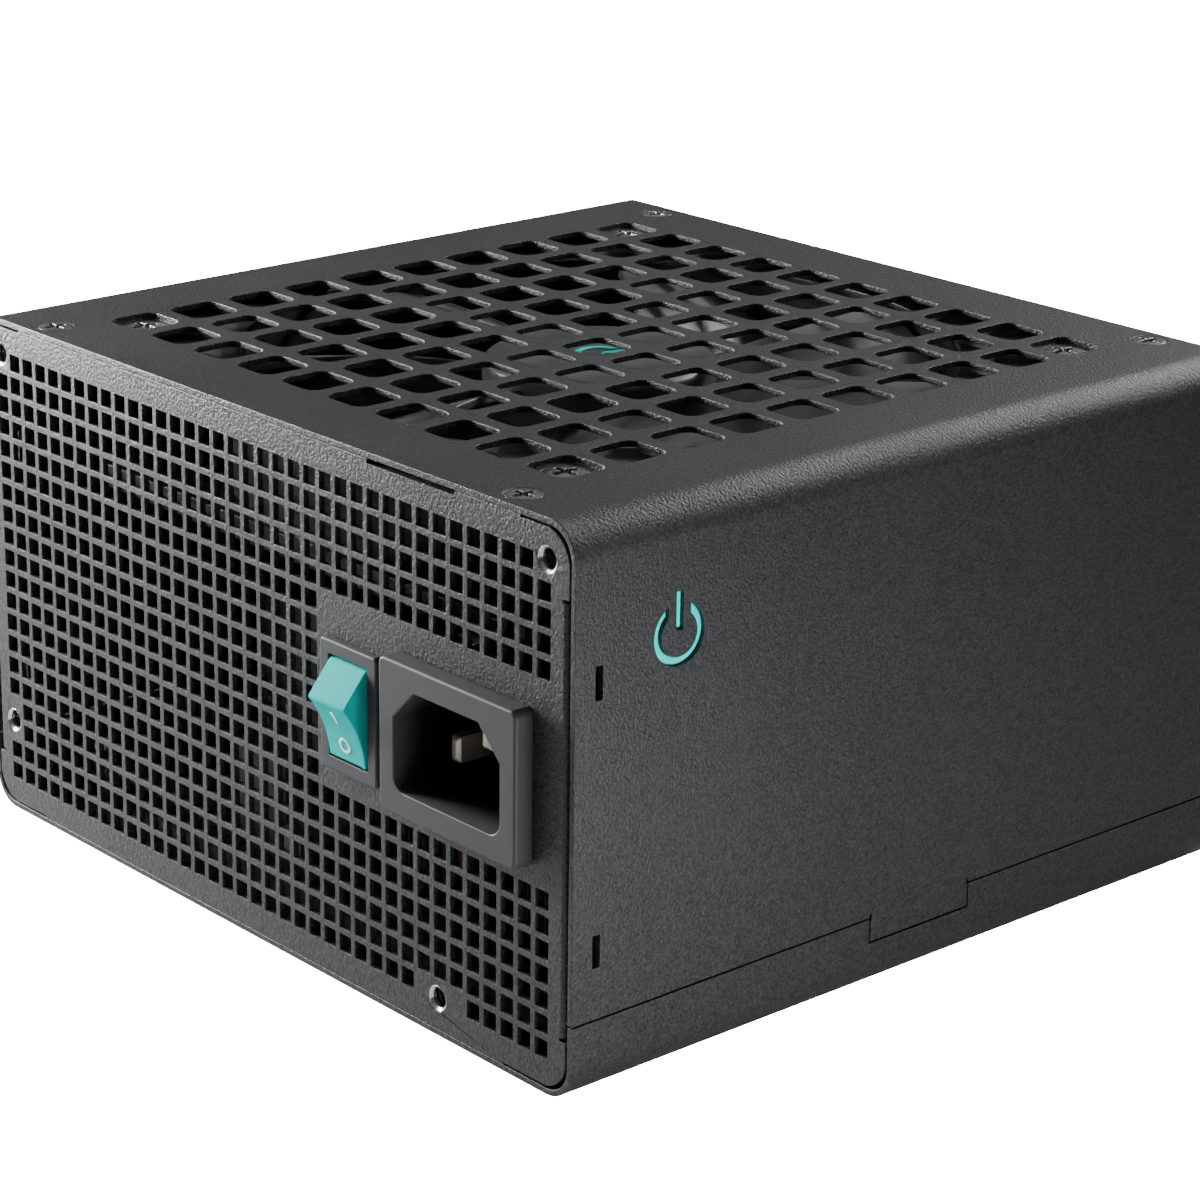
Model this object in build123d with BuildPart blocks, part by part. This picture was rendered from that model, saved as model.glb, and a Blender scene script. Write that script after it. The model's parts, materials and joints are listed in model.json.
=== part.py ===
from build123d import *
import os
from math import cos, radians, sin, sqrt

# Power supply unit with a 150 x 86 mm panel, 140 mm deep. Millimetres, +Z up, origin at the centre of
# the underside. The panel with the mains inlet faces -Y, the output sockets face +Y, the fan faces up.

os.makedirs("parts", exist_ok=True)

# ---- Driving dimensions: shell ----
WIDTH = 150.0
DEPTH = 140.0
HEIGHT = 86.0
SHEET = 1.0  # steel thickness of the shell and the panels
BEND = 5.5  # outside radius of the shell's long bends
FRONT = -DEPTH / 2
REAR = DEPTH / 2
FIT = 0.05  # between sheets that lie against each other
SEAM_Z = 12.4  # lower edge of the cover's side walls
SEAM_GAP = 0.35
TAB_LENGTH = 21.0  # the cover's tab that drops into the tray's side
TAB_DROP = 4.0
TAB_RELIEF = 0.5
HOOK_SLOT = (1.4, 5.0)  # slot width along Y, height along Z
HOOK_SLOT_Y = 65.6
HOOK_SLOT_Z = (22.75, 62.75)

# ---- Driving dimensions: fan and its grille ----
FAN_SIZE = 120.0
FAN_DEPTH = 25.0
FAN_SCREW_SPACING = 105.0
FAN_CELLS = 10
FAN_PITCH = FAN_SCREW_SPACING / (FAN_CELLS - 1)
FAN_HOLE = 8.9
FAN_HOLE_CORNER = 2.0
POCKET_DEPTH = 1.0
POCKET_RIM = 0.7
FAN_TOP = HEIGHT - SHEET - POCKET_DEPTH
FAN_BOTTOM = FAN_TOP - FAN_DEPTH

# ---- Driving dimensions: panels ----
EDGE_GAP = 0.35  # between a panel's free edge and the shell
PANEL_CORNER = 5.0
FLANGE_LOW = 9.4  # the side flanges run between these heights
FLANGE_HIGH = 75.1
FLANGE_NOTCH = 0.4
FLANGE_DEPTH = 9.0
TOP_FLANGE_LENGTH = 126.6
FOOT_FLANGE_LENGTH = 120.0
GRILLE_PITCH = 3.8
GRILLE_HOLE = 2.8
GRILLE_COLUMNS = 37
GRILLE_ROWS = 20

# ---- Driving dimensions: what is fixed to the panels ----
NUT_PLACES = ((-69.0, 80.0), (69.0, 80.0), (-69.0, 16.0), (45.0, 6.0))
INLET_X = 50.95
INLET_Z = 45.9
INLET_CAVITY = (23.9, 16.0)
SWITCH_X = 25.7
SWITCH_Z = 45.4
SOCKET_PITCH = 4.2
SOCKET_PROUD = 1.0
SOCKET_ROW_HIGH = 43.0
SOCKET_ROW_LOW = 21.0
SOCKETS_24 = ((-33.0, SOCKET_ROW_HIGH),)
SOCKETS_8 = (
    (9.0, SOCKET_ROW_HIGH),
    (33.0, SOCKET_ROW_HIGH),
    (57.0, SOCKET_ROW_HIGH),
    (33.0, SOCKET_ROW_LOW),
    (57.0, SOCKET_ROW_LOW),
)
SOCKETS_6 = tuple((x, SOCKET_ROW_LOW) for x in (-49.0, -28.0, -7.0))

# ---- Driving dimensions: circuit boards ----
BOARD = 1.6
BOARD_Z = 8.0
BOARD_TOP = BOARD_Z + BOARD
BOARD_X = (-67.0, 67.0)
BOARD_Y = (-60.0, 52.0)
INSULATION = 0.4
STANDOFF_CLEARANCE = 3.4
STANDOFF_FLATS = 3.1
STANDOFF_BORE = 1.25
BOARD_SCREW_HEAD = (2.8, 2.0)
STANDOFF_PLACES = ((-62.0, -56.0), (62.0, -56.0), (-62.0, 47.0), (62.0, 47.0))

FRONT_FACE = Plane.XZ.offset(DEPTH / 2)
LOW = (Align.CENTER, Align.CENTER, Align.MIN)


# ---- Shared shapes ----


def power_symbol(radius, stroke):
    """A plain power symbol: a ring that is open at the top, with a short bar in the opening."""
    with BuildSketch() as symbol:
        Circle(radius)
        Circle(radius - stroke, mode=Mode.SUBTRACT)
        with Locations((0, radius)):
            Rectangle(3.1 * stroke, 2 * stroke + radius / 2, mode=Mode.SUBTRACT)
        with Locations((0, 0.72 * radius)):
            Rectangle(stroke, 1.2 * radius)
    return symbol.sketch


def cross_head_screw(head_radius, shank_radius, length, dome):
    """A countersunk cross-head screw, its head's rim at z = 0 and its shank pointing down."""
    cone = head_radius - shank_radius
    crown = (head_radius**2 + dome**2) / (2 * dome)
    half = head_radius / 2
    with BuildPart() as screw:
        with BuildSketch(Plane.XZ):
            with BuildLine():
                ThreePointArc((0, dome), (half, dome - crown + sqrt(crown**2 - half**2)), (head_radius, 0))
                Polyline(
                    (head_radius, 0),
                    (shank_radius, -cone),
                    (shank_radius, -length),
                    (0, -length),
                    (0, dome),
                )
            make_face()
        revolve(axis=Axis.Z)
        chamfer(screw.edges().group_by(Axis.Z)[0], 0.4)
        with BuildSketch(Plane.XY.offset(dome)):
            Rectangle(1.25 * head_radius, 0.3 * head_radius)
            Rectangle(0.3 * head_radius, 1.25 * head_radius)
        extrude(amount=-(dome + 0.45 * head_radius), taper=6, mode=Mode.SUBTRACT)
    return screw.part


def ring(outer, inner, height):
    """A plain ring standing on z = 0."""
    with BuildPart() as made:
        Cylinder(outer, height, align=LOW)
        Cylinder(inner, height, align=LOW, mode=Mode.SUBTRACT)
    return made.part


def toroid_winding(outer, inner, height, wire, start, sweep):
    """Wire wound on a ring core that stands on z = wire: a shell of wire thickness over part of the turn."""
    middle = (outer + inner) / 2
    radial = outer - inner
    with BuildPart() as made:
        with BuildSketch(Plane.XZ.rotated((0, 0, start))):
            with Locations((middle, wire + height / 2)):
                RectangleRounded(radial + 2 * wire, height + 2 * wire, 1.4 * wire)
                Rectangle(radial, height, mode=Mode.SUBTRACT)
        revolve(axis=Axis.Z, revolution_arc=sweep)
    return made.part


def e_core(width, depth, height, leg):
    """A transformer's ferrite core on z = 0: two yokes, a centre leg and two side legs."""
    window = (width / 2 - leg) / 2
    with BuildPart() as made:
        Box(width, depth, height, align=LOW)
        with Locations((-(leg + window) / 2, 0, leg / 2), ((leg + window) / 2, 0, leg / 2)):
            Box(window, depth, height - leg, align=LOW, mode=Mode.SUBTRACT)
        fillet(made.edges().filter_by(Axis.Y), 0.6)
    return made.part


def bobbin(width, depth, height, leg):
    """The taped winding round the centre leg of e_core with the same sizes."""
    window = (width / 2 - leg) / 2
    with BuildPart() as made:
        with BuildSketch(Plane.XY.offset(leg / 2 + 0.3)):
            RectangleRounded(leg + 2 * window - 0.4, depth + 2 * window - 0.4, window - 0.4)
            Rectangle(leg + 0.2, depth + 0.2, mode=Mode.SUBTRACT)
        extrude(amount=height - leg - 0.6)
    return made.part


def capacitor(radius, height):
    """A can capacitor on z = 0, with its rolled bottom groove and the cross scored on its top."""
    groove = 0.06 * radius
    with BuildPart() as made:
        Cylinder(radius, height, align=LOW)
        with Locations((0, 0, 0.35 * radius)):
            with BuildSketch(Plane.XZ):
                with Locations((radius, 0.35 * radius)):
                    Circle(groove)
            revolve(axis=Axis.Z, mode=Mode.SUBTRACT)
        fillet(made.edges().group_by(Axis.Z)[-1], 0.08 * radius)
        with BuildSketch(Plane.XY.offset(height)):
            Rectangle(1.1 * radius, 0.08 * radius)
            Rectangle(0.08 * radius, 1.1 * radius)
        extrude(amount=-0.3, mode=Mode.SUBTRACT)
    return made.part


def finned_plate(length, height, thickness, fins):
    """A heatsink along Y on z = 0: an upright plate with short fins on both sides of its upper half."""
    with BuildPart() as made:
        Box(thickness, length, height, align=LOW)
        with Locations([(0, 0, height * (0.62 + 0.36 * i / (fins - 1))) for i in range(fins)]):
            Box(thickness + 6, length, 1.2)
    return made.part


def transistor():
    """A power transistor on z = 0, its metal tab towards +X: body, tab with a hole, and three legs."""
    with BuildPart() as made:
        with Locations((0, 0, 6)):
            Box(3.2, 10, 9, align=LOW)
        with Locations((1.0, 0, 6)):
            Box(1.2, 10, 15.5, align=LOW)
        with Locations(Plane(origin=(1.6, 0, 18.6), z_dir=(1, 0, 0))):
            Hole(1.7, depth=1.2)
        with Locations((0, -2.54, 0), (0, 0, 0), (0, 2.54, 0)):
            Box(0.6, 0.9, 6, align=LOW)
    return made.part


# ---- Cover: top and sides in one folded sheet, with the fan grille ----

with BuildSketch(FRONT_FACE) as shell_section:
    with Locations((0, HEIGHT / 2)):
        RectangleRounded(WIDTH, HEIGHT, BEND)
        RectangleRounded(WIDTH - 2 * SHEET, HEIGHT - 2 * SHEET, BEND - SHEET, mode=Mode.SUBTRACT)

cell_steps = [(i - (FAN_CELLS - 1) / 2) * FAN_PITCH for i in range(FAN_CELLS)]
grille_edge = FAN_SCREW_SPACING / 2
fan_screw_places = [(x, y) for x in (-grille_edge, grille_edge) for y in (-grille_edge, grille_edge)]
fan_hole_places = [
    (x, y)
    for x in cell_steps
    for y in cell_steps
    if min(abs(x), abs(y)) < grille_edge - FAN_PITCH / 2
]
COVER_SCREW_X = 58.8
COVER_SCREW_Y = 65.6
cover_screw_places = [
    (x, y) for x in (-COVER_SCREW_X, COVER_SCREW_X) for y in (-COVER_SCREW_Y, COVER_SCREW_Y)
]
hook_slot_places = [(y, z) for y in (-HOOK_SLOT_Y, HOOK_SLOT_Y) for z in HOOK_SLOT_Z]

pocket_outside = FAN_HOLE + 2 * POCKET_RIM

MARK_RADIUS = 4.75
MARK_STROKE = 1.35
MARK_FACE = Plane(origin=(WIDTH / 2, -50.8, 66.6), x_dir=(0, 1, 0), z_dir=(1, 0, 0))
MARK_RECESS = 0.7
COVER_SCREW_HEAD = 2.9
COVER_SCREW_SHANK = 1.45
COVER_SCREW_HOLE = 1.7
COVER_SCREW_TAP = 1.5
FAN_SCREW_HEAD = 3.6
FAN_SCREW_SHANK = 2.0
FAN_SCREW_HOLE = 2.2
HEAD_GAP = 0.1  # round a countersunk head

with BuildPart() as cover:
    extrude(shell_section.sketch, amount=-DEPTH)
    with BuildSketch(Plane.YZ.offset(-WIDTH / 2)):
        with Locations((0, SEAM_Z / 2)):
            Rectangle(DEPTH, SEAM_Z)
        with Locations((0, SEAM_Z - TAB_DROP / 2)):
            Rectangle(TAB_LENGTH, TAB_DROP, mode=Mode.SUBTRACT)
        with Locations((-TAB_LENGTH / 2, SEAM_Z), (TAB_LENGTH / 2, SEAM_Z)):
            Rectangle(TAB_RELIEF, 2 * TAB_RELIEF)
        with Locations(*hook_slot_places):
            Rectangle(*HOOK_SLOT)
    extrude(amount=WIDTH, mode=Mode.SUBTRACT)
    with BuildSketch(Plane.XY.offset(HEIGHT - SHEET)):
        with Locations(*fan_screw_places):
            RectangleRounded(pocket_outside, pocket_outside, FAN_HOLE_CORNER + POCKET_RIM)
    extrude(amount=-POCKET_DEPTH)
    with BuildSketch(Plane.XY.offset(HEIGHT)):
        with Locations(*fan_screw_places):
            RectangleRounded(FAN_HOLE, FAN_HOLE, FAN_HOLE_CORNER)
    extrude(amount=-POCKET_DEPTH, mode=Mode.SUBTRACT)
    with BuildSketch(Plane.XY.offset(HEIGHT)):
        with Locations(*fan_hole_places):
            RectangleRounded(FAN_HOLE, FAN_HOLE, FAN_HOLE_CORNER)
    extrude(amount=-SHEET, mode=Mode.SUBTRACT)
    with Locations(*[(x, y, HEIGHT - POCKET_DEPTH) for x, y in fan_screw_places]):
        CounterSinkHole(FAN_SCREW_HOLE, FAN_SCREW_HEAD + HEAD_GAP, depth=SHEET, counter_sink_angle=90)
    with Locations(*[(x, y, HEIGHT) for x, y in cover_screw_places]):
        CounterSinkHole(COVER_SCREW_HOLE, COVER_SCREW_HEAD + HEAD_GAP, depth=SHEET, counter_sink_angle=90)
    with BuildSketch(MARK_FACE):
        add(power_symbol(MARK_RADIUS, MARK_STROKE))
    extrude(amount=-SHEET, mode=Mode.SUBTRACT)
cover.part.label = "cover"
export_step(cover.part, "parts/cover.step")

# ---- Base tray: bottom and the low rounded side flanges ----

with BuildPart() as base_tray:
    extrude(shell_section.sketch, amount=-DEPTH)
    with BuildSketch(Plane.YZ.offset(-WIDTH / 2)):
        with Locations((0, (HEIGHT + SEAM_Z - SEAM_GAP) / 2)):
            Rectangle(DEPTH, HEIGHT - SEAM_Z + SEAM_GAP)
        with Locations((0, SEAM_Z - (TAB_DROP + SEAM_GAP) / 2)):
            Rectangle(TAB_LENGTH + 2 * SEAM_GAP, TAB_DROP + SEAM_GAP)
    extrude(amount=WIDTH, mode=Mode.SUBTRACT)
base_tray.part.label = "base_tray"
export_step(base_tray.part, "parts/base_tray.step")

# ---- Panels: a flat plate inside the shell, with side, top and foot flanges ----

plate_half_width = WIDTH / 2 - SHEET - EDGE_GAP
plate_low = SHEET + EDGE_GAP
plate_high = HEIGHT - SHEET - EDGE_GAP
flange_middle = (FLANGE_LOW + FLANGE_HIGH) / 2
flange_height = FLANGE_HIGH - FLANGE_LOW
flange_outside = plate_half_width - FLANGE_NOTCH
FLANGE_RELIEF = 0.5
FLANGE_BEND = 0.8
FLANGE_ROOT = 4.0  # how far the plate reaches under its top and foot flanges
TOP_FLANGE_DEPTH = 9.4


def panel_outline():
    """A panel plate's outline, X to the right and Z up, cut back where the side flanges bend away."""
    with BuildSketch() as outline:
        with Locations((0, HEIGHT / 2)):
            RectangleRounded(2 * plate_half_width, plate_high - plate_low, PANEL_CORNER)
        with Locations((0, HEIGHT - SHEET - FIT)):
            Rectangle(TOP_FLANGE_LENGTH, FLANGE_ROOT, align=(Align.CENTER, Align.MAX))
        with Locations((0, SHEET + FIT)):
            Rectangle(FOOT_FLANGE_LENGTH, FLANGE_ROOT, align=(Align.CENTER, Align.MIN))
        with Locations((-plate_half_width, flange_middle), (plate_half_width, flange_middle)):
            Rectangle(2 * (FLANGE_NOTCH + SHEET), flange_height, mode=Mode.SUBTRACT)
    return outline.sketch


with BuildPart() as front_flanges:
    with BuildSketch(Plane.XY.offset(FLANGE_LOW + FLANGE_RELIEF)) as side_flanges:
        with Locations((flange_outside, FRONT)):
            Rectangle(SHEET, FLANGE_DEPTH, align=(Align.MAX, Align.MIN))
        fillet(side_flanges.vertices().group_by(Axis.Y)[0].sort_by(Axis.X)[-1], FLANGE_BEND)
        mirror(about=Plane.YZ)
    extrude(amount=flange_height - 2 * FLANGE_RELIEF)
    with BuildSketch(Plane.XY.offset(HEIGHT - SHEET - FIT)):
        with Locations((0, FRONT + SHEET / 2)):
            Rectangle(TOP_FLANGE_LENGTH, TOP_FLANGE_DEPTH - SHEET / 2, align=(Align.CENTER, Align.MIN))
    extrude(amount=-SHEET)
    with BuildSketch(Plane.XY.offset(SHEET + FIT)):
        with Locations((0, FRONT + SHEET / 2)):
            Rectangle(FOOT_FLANGE_LENGTH, FLANGE_DEPTH, align=(Align.CENTER, Align.MIN))
    extrude(amount=SHEET)
    with BuildSketch(Plane.YZ.offset(-WIDTH / 2)):
        with Locations(*[(y, z) for y, z in hook_slot_places if y < 0]):
            Rectangle(*HOOK_SLOT)
    extrude(amount=WIDTH, mode=Mode.SUBTRACT)
    with Locations(*[(x, y, HEIGHT - SHEET) for x, y in cover_screw_places if y < 0]):
        CounterSinkHole(COVER_SCREW_TAP, COVER_SCREW_TAP + 0.6, depth=2 * SHEET, counter_sink_angle=90)

# ---- Front panel: perforated, with the openings for the switch and the inlet ----

# Holes are left out by column and row at the four mounting nuts, and in a block round switch and inlet.
NUT_CELLS = {(0, 0), (36, 0), (0, 16), (0, 17), (29, 19), (30, 19), (31, 19)}
PLAIN_COLUMNS = range(23, 37)
PLAIN_ROWS = range(5, 13)
plain_cells = NUT_CELLS | {(i, j) for i in PLAIN_COLUMNS for j in PLAIN_ROWS}
grille_cells = [
    ((i - (GRILLE_COLUMNS - 1) / 2) * GRILLE_PITCH, HEIGHT / 2 - (j - (GRILLE_ROWS - 1) / 2) * GRILLE_PITCH)
    for i in range(GRILLE_COLUMNS)
    for j in range(GRILLE_ROWS)
    if (i, j) not in plain_cells
]
NUT_BARREL = 2.05
OPENING_GAP = 0.3  # taken up by each fitting that a panel opening holds
INLET_BODY = (27.2, 20.0)
SWITCH_BODY = (12.4, 19.4)
TOP_SLOT = (39.0, 20.0, 3.0, 0.7)  # centre X, length, depth, height

with BuildPart() as front_panel:
    with BuildSketch(FRONT_FACE):
        add(panel_outline())
        with Locations(*grille_cells):
            Rectangle(GRILLE_HOLE, GRILLE_HOLE, mode=Mode.SUBTRACT)
        with Locations(*NUT_PLACES):
            Circle(NUT_BARREL, mode=Mode.SUBTRACT)
        with Locations((INLET_X, INLET_Z)):
            RectangleRounded(*[side + OPENING_GAP for side in INLET_BODY], 1.0, mode=Mode.SUBTRACT)
        with Locations((SWITCH_X, SWITCH_Z)):
            Rectangle(*[side + OPENING_GAP for side in SWITCH_BODY], mode=Mode.SUBTRACT)
    extrude(amount=-SHEET)
    add(front_flanges.part)
    with Locations((TOP_SLOT[0], FRONT, HEIGHT - SHEET)):
        Box(TOP_SLOT[1], 2 * TOP_SLOT[2], 2 * (TOP_SLOT[3] + FIT), mode=Mode.SUBTRACT)
front_panel.part.label = "front_panel"
export_step(front_panel.part, "parts/front_panel.step")

# ---- Mounting nuts: bare steel, clinched into the front panel, 6-32 thread ----

NUT_BORE = 1.4
NUT_LENGTH = 4.5
NUT_SHANK = 3.0
NUT_COUNTERSINK = 0.5

with BuildPart() as nut:
    Cylinder(NUT_BARREL, SHEET, align=(Align.CENTER, Align.CENTER, Align.MAX))
    with Locations((0, 0, -SHEET)):
        Cylinder(NUT_SHANK, NUT_LENGTH - SHEET, align=(Align.CENTER, Align.CENTER, Align.MAX))
    CounterSinkHole(NUT_BORE, NUT_BORE + NUT_COUNTERSINK, depth=NUT_LENGTH, counter_sink_angle=90)
with BuildPart() as mounting_nuts:
    with Locations(*[Plane(origin=(x, FRONT, z), z_dir=(0, -1, 0)) for x, z in NUT_PLACES]):
        add(nut.part)
mounting_nuts.part.label = "mounting_nuts"
export_step(mounting_nuts.part, "parts/mounting_nuts.step")

# ---- Cover screws and fan screws ----

with BuildPart() as cover_screws:
    with Locations(*[(x, y, HEIGHT - 0.05) for x, y in cover_screw_places]):
        add(cross_head_screw(COVER_SCREW_HEAD, COVER_SCREW_SHANK, 6.0, 0.15))
cover_screws.part.label = "cover_screws"
export_step(cover_screws.part, "parts/cover_screws.step")

with BuildPart() as fan_screws:
    with Locations(*[(x, y, HEIGHT - POCKET_DEPTH) for x, y in fan_screw_places]):
        add(cross_head_screw(FAN_SCREW_HEAD, FAN_SCREW_SHANK, 10.0, 0.4))
fan_screws.part.label = "fan_screws"
export_step(fan_screws.part, "parts/fan_screws.step")

# ---- Side mark: a plain power symbol that shows through the cover's right wall ----

MARK_BACKING = (13.0, 14.5, 0.6)
with BuildPart() as side_mark:
    with BuildSketch(MARK_FACE.offset(-SHEET)):
        RectangleRounded(MARK_BACKING[0], MARK_BACKING[1], 1.0)
    extrude(amount=-MARK_BACKING[2])
    with BuildSketch(MARK_FACE.offset(-SHEET)):
        add(power_symbol(MARK_RADIUS, MARK_STROKE))
        offset(amount=-FIT, mode=Mode.REPLACE)
    extrude(amount=SHEET - MARK_RECESS)
side_mark.part.label = "side_mark"
export_step(side_mark.part, "parts/side_mark.step")

# ---- Mains inlet: housing and three blades ----

INLET_FACE = Plane(origin=(INLET_X, FRONT, INLET_Z), x_dir=(1, 0, 0), z_dir=(0, -1, 0))
INLET_FLANGE = (30.8, 23.7, 3.3)
INLET_BODY_DEPTH = 20.0
INLET_CAVITY_FLOOR = 15.0
INLET_CHAMFER = 4.8
INLET_CORNER = 2.5
BLADE_TIP_DEPTH = 4.0
BLADE_BACK_DEPTH = 22.0
BLADE_SECTION = (2.0, 4.0)
INLET_BLADES = ((-7.0, -2.1), (0.0, 1.9), (7.0, -2.1))

with BuildPart() as inlet_housing:
    with BuildSketch(INLET_FACE):
        RectangleRounded(INLET_FLANGE[0], INLET_FLANGE[1], 1.2)
    extrude(amount=INLET_FLANGE[2])
    fillet(inlet_housing.edges().group_by(Axis.Y)[0], 0.5)
    with BuildSketch(INLET_FACE):
        RectangleRounded(INLET_BODY[0], INLET_BODY[1], 1.0)
    extrude(amount=-INLET_BODY_DEPTH)
    with BuildSketch(INLET_FACE.offset(INLET_FLANGE[2])) as cavity_outline:
        Rectangle(*INLET_CAVITY)
        chamfer(cavity_outline.vertices().group_by(Axis.Y)[-1], INLET_CHAMFER)
        fillet(cavity_outline.vertices().group_by(Axis.Y)[0], INLET_CORNER)
    extrude(amount=-(INLET_FLANGE[2] + INLET_CAVITY_FLOOR), mode=Mode.SUBTRACT)
    with BuildSketch(INLET_FACE.offset(-INLET_CAVITY_FLOOR)):
        with Locations(*INLET_BLADES):
            Rectangle(*BLADE_SECTION)
    extrude(amount=-INLET_BODY_DEPTH, mode=Mode.SUBTRACT)
inlet_housing.part.label = "inlet_housing"
export_step(inlet_housing.part, "parts/inlet_housing.step")

with BuildPart() as inlet_pins:
    with BuildSketch(INLET_FACE.offset(-BLADE_TIP_DEPTH)):
        with Locations(*INLET_BLADES):
            Rectangle(*BLADE_SECTION)
    extrude(amount=-(BLADE_BACK_DEPTH - BLADE_TIP_DEPTH))
    chamfer(inlet_pins.edges().group_by(Axis.Y)[0], 0.55)
inlet_pins.part.label = "inlet_pins"
export_step(inlet_pins.part, "parts/inlet_pins.step")

# ---- Rocker switch ----
# The rocker turns about an axis along X behind the panel. Its shape is drawn upright, on a plane whose
# x runs outwards and y upwards, and that plane is tipped by ROCKER_TILT into the off position.

SWITCH_BEZEL = (13.6, 20.4, 1.3)
SWITCH_BODY_DEPTH = 15.5
ROCKER_TILT = 22.0
ROCKER_WIDTH = 8.7
PIVOT_DEPTH = 3.3
RIDGE = (7.28, 5.475)
SHOULDER = (1.60, 8.57)
FACE_HOLLOW = 6.42  # the hollow face's lowest point, from the pivot
RIDGE_ROUND = 0.7
ROCKER_TAIL = 8.72  # radius of the rocker's ends behind the shoulder
CAVITY_RADIUS = 9.2
TRUNNION = 1.0
TRUNNION_PLAY = 0.06
ROCKER_BACK = 2.2  # half the flat behind the pivot, and its depth
LEVER = (0.5, 10.0, 4.4)  # thickness, length, width
TERMINAL = (4.8, 0.8, 8.0)
TERMINAL_HOLE = 0.7
PLUNGER_TIP = 5.4
LEVER_DEPTH = 7.6
LEVER_TILT = 8.0

pivot = (SWITCH_X, FRONT + PIVOT_DEPTH, SWITCH_Z)
outward = (0, -cos(radians(ROCKER_TILT)), -sin(radians(ROCKER_TILT)))
PIVOT_SIDE = Plane(origin=pivot, x_dir=(0, -1, 0), z_dir=(-1, 0, 0))
ROCKER_SIDE = Plane(origin=pivot, x_dir=outward, z_dir=(-1, 0, 0))
ROCKER_FACE = Plane(origin=pivot, x_dir=(1, 0, 0), z_dir=outward)
SWITCH_FACE = Plane(origin=(SWITCH_X, FRONT, SWITCH_Z), x_dir=(1, 0, 0), z_dir=(0, -1, 0))
LEVER_SIDE = Plane(
    origin=(SWITCH_X, FRONT + PIVOT_DEPTH + LEVER_DEPTH, SWITCH_Z),
    x_dir=(0, -cos(radians(LEVER_TILT)), sin(radians(LEVER_TILT))),
    z_dir=(-1, 0, 0),
)

with BuildPart() as switch_housing:
    with BuildSketch(SWITCH_FACE):
        RectangleRounded(SWITCH_BEZEL[0], SWITCH_BEZEL[1], 0.8)
    extrude(amount=SWITCH_BEZEL[2])
    fillet(switch_housing.edges().group_by(Axis.Y)[0], 0.4)
    with BuildSketch(SWITCH_FACE):
        Rectangle(*SWITCH_BODY)
    extrude(amount=-SWITCH_BODY_DEPTH)
    with BuildSketch(PIVOT_SIDE):
        Circle(CAVITY_RADIUS)
        with Locations((-5.0, 0)):
            Rectangle(5.6, 13.0, align=(Align.MAX, Align.CENTER))
    extrude(amount=ROCKER_WIDTH / 2 + 0.25, both=True, mode=Mode.SUBTRACT)
    with BuildSketch(PIVOT_SIDE):
        Circle(TRUNNION + TRUNNION_PLAY)
    extrude(amount=ROCKER_WIDTH / 2 + 1.3, both=True, mode=Mode.SUBTRACT)
switch_housing.part.label = "switch_housing"
export_step(switch_housing.part, "parts/switch_housing.step")

heel = (-0.4, sqrt(ROCKER_TAIL**2 - 0.4**2))
with BuildPart() as switch_rocker:
    with BuildSketch(ROCKER_SIDE):
        with BuildLine():
            ThreePointArc((RIDGE[0], RIDGE[1]), (FACE_HOLLOW, 0), (RIDGE[0], -RIDGE[1]))
            Line((RIDGE[0], -RIDGE[1]), (SHOULDER[0], -SHOULDER[1]))
            RadiusArc((SHOULDER[0], -SHOULDER[1]), (heel[0], -heel[1]), ROCKER_TAIL)
            Line((heel[0], -heel[1]), (-ROCKER_BACK, -ROCKER_BACK))
            Line((-ROCKER_BACK, -ROCKER_BACK), (-ROCKER_BACK, ROCKER_BACK))
            Line((-ROCKER_BACK, ROCKER_BACK), heel)
            RadiusArc(heel, (SHOULDER[0], SHOULDER[1]), ROCKER_TAIL)
            Line((SHOULDER[0], SHOULDER[1]), (RIDGE[0], RIDGE[1]))
        make_face()
    extrude(amount=ROCKER_WIDTH / 2, both=True)
    ridge_radius = sqrt(RIDGE[0] ** 2 + RIDGE[1] ** 2)
    ridges = switch_rocker.edges().filter_by(Axis.X)
    ridges = ridges.filter_by(lambda e: abs((e.center() - Vector(*pivot)).length - ridge_radius) < 0.05)
    fillet(ridges, RIDGE_ROUND)
    with BuildSketch(ROCKER_SIDE):
        Circle(TRUNNION)
    extrude(amount=ROCKER_WIDTH / 2 + 1.2, both=True)
switch_rocker.part.label = "switch_rocker"
export_step(switch_rocker.part, "parts/switch_rocker.step")

face_radius = (RIDGE[1] ** 2 + (RIDGE[0] - FACE_HOLLOW) ** 2) / (2 * (RIDGE[0] - FACE_HOLLOW))
SYMBOL_PROUD = 0.08
with BuildPart() as rocker_symbols:
    with BuildSketch(ROCKER_SIDE):
        with Locations((FACE_HOLLOW + face_radius, 0)):
            Circle(face_radius)
            Circle(face_radius - SYMBOL_PROUD, mode=Mode.SUBTRACT)
        with Locations((RIDGE[0], 0)):
            Rectangle(10, 30, align=(Align.MIN, Align.CENTER), mode=Mode.SUBTRACT)
    extrude(amount=ROCKER_WIDTH / 2, both=True)
    with BuildSketch(ROCKER_FACE):
        with Locations((0, 2.45)):
            RectangleRounded(0.5, 2.5, 0.2)
        with Locations((0, -2.75)):
            Circle(1.3)
            Circle(0.85, mode=Mode.SUBTRACT)
    extrude(amount=20, mode=Mode.INTERSECT)
rocker_symbols.part.label = "rocker_symbols"
export_step(rocker_symbols.part, "parts/rocker_symbols.step")

with BuildPart() as switch_plunger:
    with BuildSketch(ROCKER_FACE.offset(-ROCKER_BACK)):
        Circle(1.0)
    extrude(amount=-(PLUNGER_TIP - ROCKER_BACK))
    fillet(switch_plunger.edges().group_by(Axis.Y)[-1], 0.8)
switch_plunger.part.label = "switch_plunger"
export_step(switch_plunger.part, "parts/switch_plunger.step")

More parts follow.
